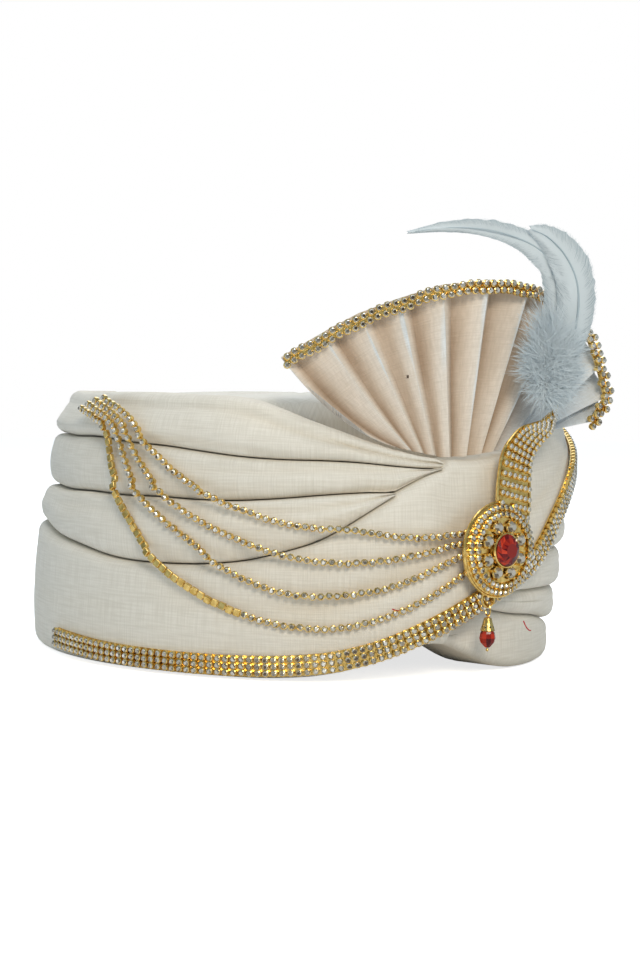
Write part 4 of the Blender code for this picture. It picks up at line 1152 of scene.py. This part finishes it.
def add_tube(shape, points, radius, sides=8, closed=False):
    """A round wire along points. Its radius may be a function of the share of the way along."""
    rings = []
    count = len(points)
    for index, point in enumerate(points):
        before = points[(index - 1) % count] if closed else points[max(0, index - 1)]
        after = points[(index + 1) % count] if closed else points[min(count - 1, index + 1)]
        along = (after - before).normalized()
        side = along.cross(Vector((0.0, 1.0, 0.0)))
        if side.length < 0.1:
            side = along.cross(Vector((1.0, 0.0, 0.0)))
        side = side.normalized()
        up = side.cross(along)
        reach = radius(index / (count - 1)) if callable(radius) else radius
        rings.append([point + (side * cos(2 * pi * part / sides) + up * sin(2 * pi * part / sides)) * reach
                      for part in range(sides)])
    if closed:
        rings.append(rings[0])
    shape.grid(rings, caps=not closed)


def circle_path(place, radius, sides):
    return [place @ point for point in ring_points(radius, 0.0, sides)]


def dress_brooch(gold, stone):
    """Small stones set close together over the disc and the tail, with wire edges and cups."""
    shape = Shape()
    radius = BROOCH_SIZE / 2
    for ring_radius, start in PAVE_RINGS:
        count = int(2 * pi * ring_radius / PAVE_PITCH)
        for index in range(count):
            turn = 2 * pi * (index + start) / count
            side = ring_radius * cos(turn)
            rise = ring_radius * sin(turn)
            tilt = Matrix.Rotation(0.28 * cos(turn), 4, "Y") @ Matrix.Rotation(-0.28 * sin(turn), 4, "X")
            place = brooch_place(side, rise, dome_height(ring_radius) - 0.0004) @ tilt
            add_cup(shape, place, PAVE_CUP)
    left, right = tail_sides()
    for row in range(TAIL_ROWS):
        share = (row + 0.4) / TAIL_ROWS
        start = along_path(left, share) * BROOCH_SIZE
        end = along_path(right, share) * BROOCH_SIZE
        width = (end - start).length
        count = max(1, round((width - 0.0012) / PAVE_PITCH))
        for column in range(count):
            spot = start.lerp(end, (column + 0.5) / count)
            if spot.length > PAVE_RINGS[-1][0] + PAVE_PITCH * 0.85:
                add_cup(shape, brooch_place(spot.x, spot.y, PLATE_THICK - 0.0003), PAVE_CUP)
    edge = [point * BROOCH_SIZE for point in left + list(reversed(right))]
    outline = [brooch_place(point.x, point.y, PLATE_THICK).translation for point in edge
               if point.length > radius * 0.98]
    add_tube(shape, outline, EDGE_WIRE)
    start = atan2(outline_height(outline[-1]), outline_side(outline[-1]))
    end = atan2(outline_height(outline[0]), outline_side(outline[0])) - 2 * pi
    arc = []
    for step in range(65):
        turn = mix(start, end, step / 64)
        arc.append(brooch_place(radius * cos(turn), radius * sin(turn), PLATE_THICK).translation)
    add_tube(shape, arc, EDGE_WIRE)
    bezel = brooch_place(0.0, 0.0, PLATE_THICK + DOME_RISE + CENTER_SEAT_RISE + 0.0010)
    add_tube(shape, circle_path(bezel, CENTER_STONE / 2, 40), BEZEL_WIRE, closed=True)
    add_clear_cups(shape)
    add_tip(shape)
    return shape.finish("stone_brooch", [gold, stone], sharp=25.0)


def outline_side(point):
    return point.x - ORIGIN_SHIFT.x - BROOCH_SIDE


def outline_height(point):
    return point.z - BROOCH_HEIGHT


def add_clear_cups(shape):
    ring_radius = (CENTER_STONE + CLEAR_STONE) / 2 + 2 * SEAT_GAP
    for number in range(CLEAR_STONE_COUNT):
        turn = 2 * pi * (number + 0.5) / CLEAR_STONE_COUNT
        side = ring_radius * sin(turn)
        rise = ring_radius * cos(turn)
        seat = PLATE_THICK + DOME_RISE
        rim = brooch_place(side, rise, seat + 0.0009)
        add_tube(shape, circle_path(rim, CLEAR_STONE / 2 - 0.0001, 20), CUP_WIRE, sides=6, closed=True)
        for prong in range(4):
            spin = pi / 4 + pi / 2 * prong + turn
            reach = 0.47 * CLEAR_STONE
            foot = brooch_place(side + reach * cos(spin), rise + reach * sin(spin), seat)
            add_cup(shape, foot, PRONG_CUP, False)
            add_bar(shape, foot, PRONG_WIDTH, PRONG_WIDTH, PRONG_HEIGHT)


def add_tip(shape):
    """Small loop with a knob at the tail's tip."""
    side, rise = TAIL_OUTLINE[len(TAIL_OUTLINE) // 2]
    loop = brooch_place((side + 0.035) * BROOCH_SIZE, (rise + 0.03) * BROOCH_SIZE, PLATE_THICK)
    add_tube(shape, circle_path(loop, LOOP_RADIUS, 16), LOOP_WIRE, sides=6, closed=True)
    knob = brooch_place((side + 0.07) * BROOCH_SIZE, (rise + 0.065) * BROOCH_SIZE, PLATE_THICK - 0.0006)
    add_cup(shape, knob, KNOB_SIZE, False)


def dress_ruby(ruby):
    """Round red stone with radial facets in three rows."""
    radius = CENTER_STONE / 2 - SEAT_GAP
    place = brooch_place(0.0, 0.0, CENTER_SEAT - PLATE_BACK + SEAT_GAP)
    cut = ((0.82, 0.0, 0.0), (1.0, 0.28, 0.0), (1.0, 0.42, 0.0), (0.80, 0.74, 0.5), (0.46, 1.0, 0.0))
    sides = 16
    shape = Shape()
    rings = [[place @ point for point in ring_points(radius * wide, CENTER_STONE_DEPTH * high, sides, turn)]
             for wide, high, turn in cut]
    shape.grid(rings)
    quads = [face for face in shape.faces if len(face) == 4]
    caps = [face for face in shape.faces if len(face) != 4]
    split = []
    for face in quads:
        split += [(face[0], face[1], face[2]), (face[0], face[2], face[3])]
    shape.faces = split + caps
    shape.numbers = [0] * len(shape.faces)
    return shape.finish("red_center_stone", [ruby], ("center_stone",), sharp=0.0)


# Feather and down

def add_strand(shape, points, width, thin, number=0):
    """A tapering three-sided strand."""
    rings = []
    last = len(points) - 1
    for index, point in enumerate(points):
        along = (points[min(last, index + 1)] - points[max(0, index - 1)]).normalized()
        flat = along.cross(FEATHER_FRONT).normalized()
        share = 1 - 0.85 * index / last
        rings.append([point + flat * width * share, point - flat * width * share,
                      point + FEATHER_FRONT * thin * share])
    shape.grid(rings, number)


def vane_depth(near, index, direction, share, seed):
    """How far forward the vane stands: it bellies back towards its edges and ripples along the spine."""
    fold = 0.0011 * noise.noise(Vector((index * 0.05, direction * share * 1.6, seed + 3.0)))
    return near + fold - VANE_BELLY * share * share


def dress_blade(name, rows, near, seed, materials, chance, replaced=()):
    """Stem, vane and barbs of one blade. The barbs sweep towards the tip."""
    shape = Shape()
    spine = smooth_points([(side, rise, 0.0) for side, rise, _, _ in rows], SPINE_PARTS)
    widths = smooth_points([(left, right, 0.0) for _, _, left, right in rows], SPINE_PARTS)
    last = len(spine) - 1

    def placed(spot, depth):
        return plume_point(PLUME_HEIGHT * spot.x, depth, PLUME_HEIGHT * spot.y)

    stem = [placed(point, near + STEM_LIFT) for point in spine[::3]]
    add_tube(shape, stem, lambda share: mix(STEM_FOOT, STEM_TIP, share), sides=6)
    rings = []
    for index in range(last + 1):
        along = (spine[min(last, index + 1)] - spine[max(0, index - 1)]).normalized()
        across = Vector((along.y, -along.x, 0.0))
        front = []
        for direction, width, shares in (
            (-1, widths[index].x, (1.0, 0.7, 0.35)), (1, widths[index].y, (0.0, 0.35, 0.7, 1.0)),
        ):
            ragged = 1.0 + 0.16 * noise.noise(Vector((index * 0.30, direction * 4.0, seed)))
            for share in shares:
                swept = along * width * SWEEP * share * share
                spot = spine[index] + across * direction * width * ragged * share + swept
                front.append((spot, vane_depth(near, index, direction, share, seed)))
        ring = [placed(spot, depth) for spot, depth in front]
        ring += [placed(spot, depth - VANE_THICK) for spot, depth in reversed(front)]
        rings.append(ring)
    shape.grid(rings)
    for index in range(2, last):
        along = (spine[index + 1] - spine[index - 1]).normalized()
        across = Vector((along.y, -along.x, 0.0))
        for step in range(BARBS_PER_PART):
            root = spine[index].lerp(spine[min(last, index + 1)], step / BARBS_PER_PART)
            for direction, width in ((-1, widths[index].x), (1, widths[index].y)):
                length = width * (1.04 + 0.14 * (chance.random() - 0.5))
                sweep = SWEEP * (1.0 + 0.25 * (chance.random() - 0.5))
                points = []
                for part in range(4):
                    share = part / 3
                    swept = along * length * sweep * share * share
                    place = root + across * direction * length * share + swept
                    points.append(placed(place, vane_depth(near, index, direction, share, seed) + BARB_LIFT))
                add_strand(shape, points, BARB_WIDTH, BARB_THIN, 1)
    return shape.finish(name, materials, replaced, sharp=60.0)


def dress_down(material, chance):
    """Fluffy down: fine curling strands that spread from a soft head."""
    shape = Shape()
    place = place_matrix(DOWN_PLACE, DOWN_FACING)
    half_width = DOWN_SIZE * DOWN_HEAD_WIDTH / 2
    half_height = DOWN_SIZE * DOWN_HEAD_HEIGHT / 2
    for _ in range(DOWN_STRANDS):
        turn = 2 * pi * chance.random()
        out = sqrt(chance.random()) * 0.95
        root = Vector((half_width * out * cos(turn), DOWN_DEPTH * 0.30 * (chance.random() - 0.6),
                       half_height * out * sin(turn)))
        clump = noise.noise(Vector((root.x * 260, root.z * 260, 2.0)))
        lean = noise.noise(Vector((root.x * 200, root.z * 200, 8.0)))
        reach = DOWN_REACH * (0.45 + 0.55 * chance.random() + 0.45 * clump)
        reach *= 0.75 + 0.35 * max(0.0, sin(turn))
        side = 0.75 * out * cos(turn) + 1.1 * lean + 0.7 * (chance.random() - 0.5)
        rise = 0.65 * out * sin(turn) + 0.30 + 0.9 * clump + 0.7 * (chance.random() - 0.5)
        heading = Vector((side, 0.5 * (chance.random() - 0.72), rise)).normalized()
        curl = Vector((1.1 * (chance.random() - 0.5) + lean, 0.5 * (chance.random() - 0.6),
                       0.9 * (chance.random() - 0.65)))
        points = []
        for part in range(5):
            share = part / 4
            points.append(place @ (root + heading * reach * share + curl * reach * share * share * 0.6))
        add_strand(shape, points, STRAND_WIDTH, STRAND_THIN)
    bpy.ops.mesh.primitive_uv_sphere_add(segments=28, ring_count=16, radius=1.0)
    ball = bpy.context.object
    core = Vector((half_width * 0.50, DOWN_DEPTH * 0.12, half_height * 0.55))
    points = []
    for vertex in ball.data.vertices:
        fluff = 1 + 0.16 * noise.noise(vertex.co * 2.6)
        spot = Vector([size * share for size, share in zip(core, vertex.co)])
        points.append(place @ (spot * fluff))
    shape.add(points, [tuple(face.vertices) for face in ball.data.polygons])
    bpy.data.objects.remove(ball)
    return shape.finish("feather_down", [material], ("plume_down",), sharp=60.0)


# Small marks

def add_marks(red, dark):
    """Loose red thread ends on the cloth and dark flecks on the fan."""
    shape = Shape()
    for angle, share, length, lean in THREAD_ENDS:
        start = wall_point(angle, interpolate(FRONT_OUT, angle) * TIER_STEP + 0.0003, share * RIM_HEIGHT)
        side = outward(angle).cross(Vector((0.0, 0.0, 1.0)))
        points = []
        for part in range(5):
            step = part / 4 - 0.5
            rise = Vector((0.0, 0.0, length * lean * step * (1 + step)))
            points.append(start + side * length * step + rise)
        add_tube(shape, points, 0.0003, sides=5)
    rows = [(index, *ridge) for index, ridge in enumerate(FAN_RIDGES)]
    for position, row in FLECKS:
        share = position - int(position)
        point, forward = fan_point((rows, position), row, pleat_depth(share))
        spot = row_frame(point + forward * 0.0005, Vector((0.0, 0.0, 1.0)), forward)
        add_bar(shape, spot, 0.0013, 0.0009, 0.0004, 1)
    return shape.finish("thread_ends", [red, dark], sharp=60.0)


# Studio

def add_light(name, place, aim, size, power, colour):
    data = bpy.data.lights.new(name, "AREA")
    data.shape = "DISK"
    data.size = size
    data.energy = power
    data.color = colour
    lamp = bpy.data.objects.new(name, data)
    bpy.context.scene.collection.objects.link(lamp)
    lamp.location = place
    lamp.rotation_euler = (Vector(aim) - Vector(place)).to_track_quat("-Z", "Y").to_euler()


def add_camera():
    turn = radians(CAMERA_ANGLE)
    data = bpy.data.cameras.new("camera")
    data.lens = 36.0 * CAMERA_FOCUS / PHOTO_HEIGHT
    data.clip_start = 0.01
    camera = bpy.data.objects.new("camera", data)
    bpy.context.scene.collection.objects.link(camera)
    camera.location = Vector((sin(turn), -cos(turn), CAMERA_HEIGHT)) + ORIGIN_SHIFT
    heading = Matrix.Rotation(turn - radians(CAMERA_YAW), 4, "Z")
    tilt = Matrix.Rotation(pi / 2 - radians(CAMERA_PITCH), 4, "X")
    camera.rotation_euler = (heading @ tilt @ Matrix.Rotation(radians(CAMERA_ROLL), 4, "Z")).to_euler()
    bpy.context.scene.camera = camera


def add_studio():
    material, tree, shader = shader_material("pale_floor", (0.90, 0.90, 0.90), 0.9)
    shader.inputs["Emission Color"].default_value = (1.0, 1.0, 1.0, 1.0)
    shader.inputs["Specular IOR Level"].default_value = 0.0
    looked_at = node(tree, "ShaderNodeLightPath")
    glow = node(tree, "ShaderNodeMath", operation="MULTIPLY")
    glow.inputs[1].default_value = FLOOR_GLOW
    tree.links.new(looked_at.outputs["Is Camera Ray"], glow.inputs[0])
    tree.links.new(glow.outputs[0], shader.inputs["Emission Strength"])
    bpy.ops.mesh.primitive_plane_add(size=8.0, location=(0.0, 0.0, -0.0002))
    floor = bpy.context.object
    floor.name = "floor"
    floor.data.materials.append(material)
    world = bpy.data.worlds.new("studio")
    bpy.context.scene.world = world
    world.use_nodes = True
    tree = world.node_tree
    ambient = tree.nodes["Background"]
    ambient.inputs["Color"].default_value = (0.72, 0.89, 1.0, 1.0)
    ambient.inputs["Strength"].default_value = WORLD_STRENGTH
    white = node(tree, "ShaderNodeBackground", Color=(1.0, 1.0, 1.0, 1.0), Strength=1.0)
    seen = node(tree, "ShaderNodeLightPath")
    either = node(tree, "ShaderNodeMixShader")
    tree.links.new(seen.outputs["Is Camera Ray"], either.inputs["Fac"])
    tree.links.new(ambient.outputs["Background"], either.inputs[1])
    tree.links.new(white.outputs["Background"], either.inputs[2])
    tree.links.new(either.outputs["Shader"], tree.nodes["World Output"].inputs["Surface"])
    bpy.context.scene.view_settings.view_transform = "Standard"
    for row in LIGHTS:
        add_light(*row)


def dress():
    cream = cloth_material("cream_silk", CREAM_SHADE_STOPS, (1300.0, 60.0), (50.0, 1000.0), 0.5)
    fan_silk = cloth_material("fan_silk", FAN_SHADE_AND_HIGHLIGHT_STOPS, (900.0, 160.0), (110.0, 1500.0), 0.6, FAN_COOL_LIGHT)
    gold = uneven_metal("gold", (0.95, 0.69, 0.25), (0.66, 0.42, 0.11), 0.24)
    stone = facet_material("cut_stone", *STONE_FACET_REFLECTIONS, 0.12, 0.55, 9.0)
    ruby = facet_material("red_glass", *RUBY_COLOUR_AND_REFLECTIONS, 0.10, 0.0, 5.0)
    ruby_shader = ruby.node_tree.nodes["Principled BSDF"]
    ruby_shader.inputs["Coat Weight"].default_value = 0.0
    ruby_shader.inputs["Specular IOR Level"].default_value = 0.35
    feather, _, _ = shader_material("feather", (0.46, 0.55, 0.60), 0.75)
    fluff, _, _ = shader_material("fluff", (0.66, 0.73, 0.77), 0.85)
    red, _, _ = shader_material("red_thread", (0.55, 0.03, 0.03), 0.8)
    dark, _, _ = shader_material("dark_fleck", (0.10, 0.07, 0.05), 0.8)
    chance = random.Random(7)

    for name, first, last, low_rows, high_rows, out_rows, lean, creases in TIERS:
        dress_tier(name, first, last, low_rows, high_rows, out_rows, lean, creases, cream)
    dress_front_wrap(cream)
    dress_base(cream)
    dress_crown(cream)
    fan = dress_fan(fan_silk)
    dress_trim(gold, stone)
    dress_band(gold, stone)
    for number, route in enumerate(CHAIN_ROUTES, 1):
        dress_chain(number, route, gold, stone, chance)
    dress_brooch(gold, stone)
    dress_ruby(ruby)
    dress_blade("feather_long", LONG_BLADE, 0.0, 1.0, [feather, fluff], chance, ("plume",))
    dress_blade("feather_broad", BROAD_BLADE, BLADE_STEP, 6.0, [feather, fluff], chance)
    dress_down(fluff, chance)
    add_marks(red, dark)
    for name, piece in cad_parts.items():
        kept = gold if name in ("brooch_plate", "drop_wire", "drop_cap") else None
        kept = stone if name.startswith("clear_stone") else kept
        kept = ruby if name == "drop_bead" else kept
        if kept:
            piece.data.materials.clear()
            piece.data.materials.append(kept)


add_camera()
add_studio()
dress()
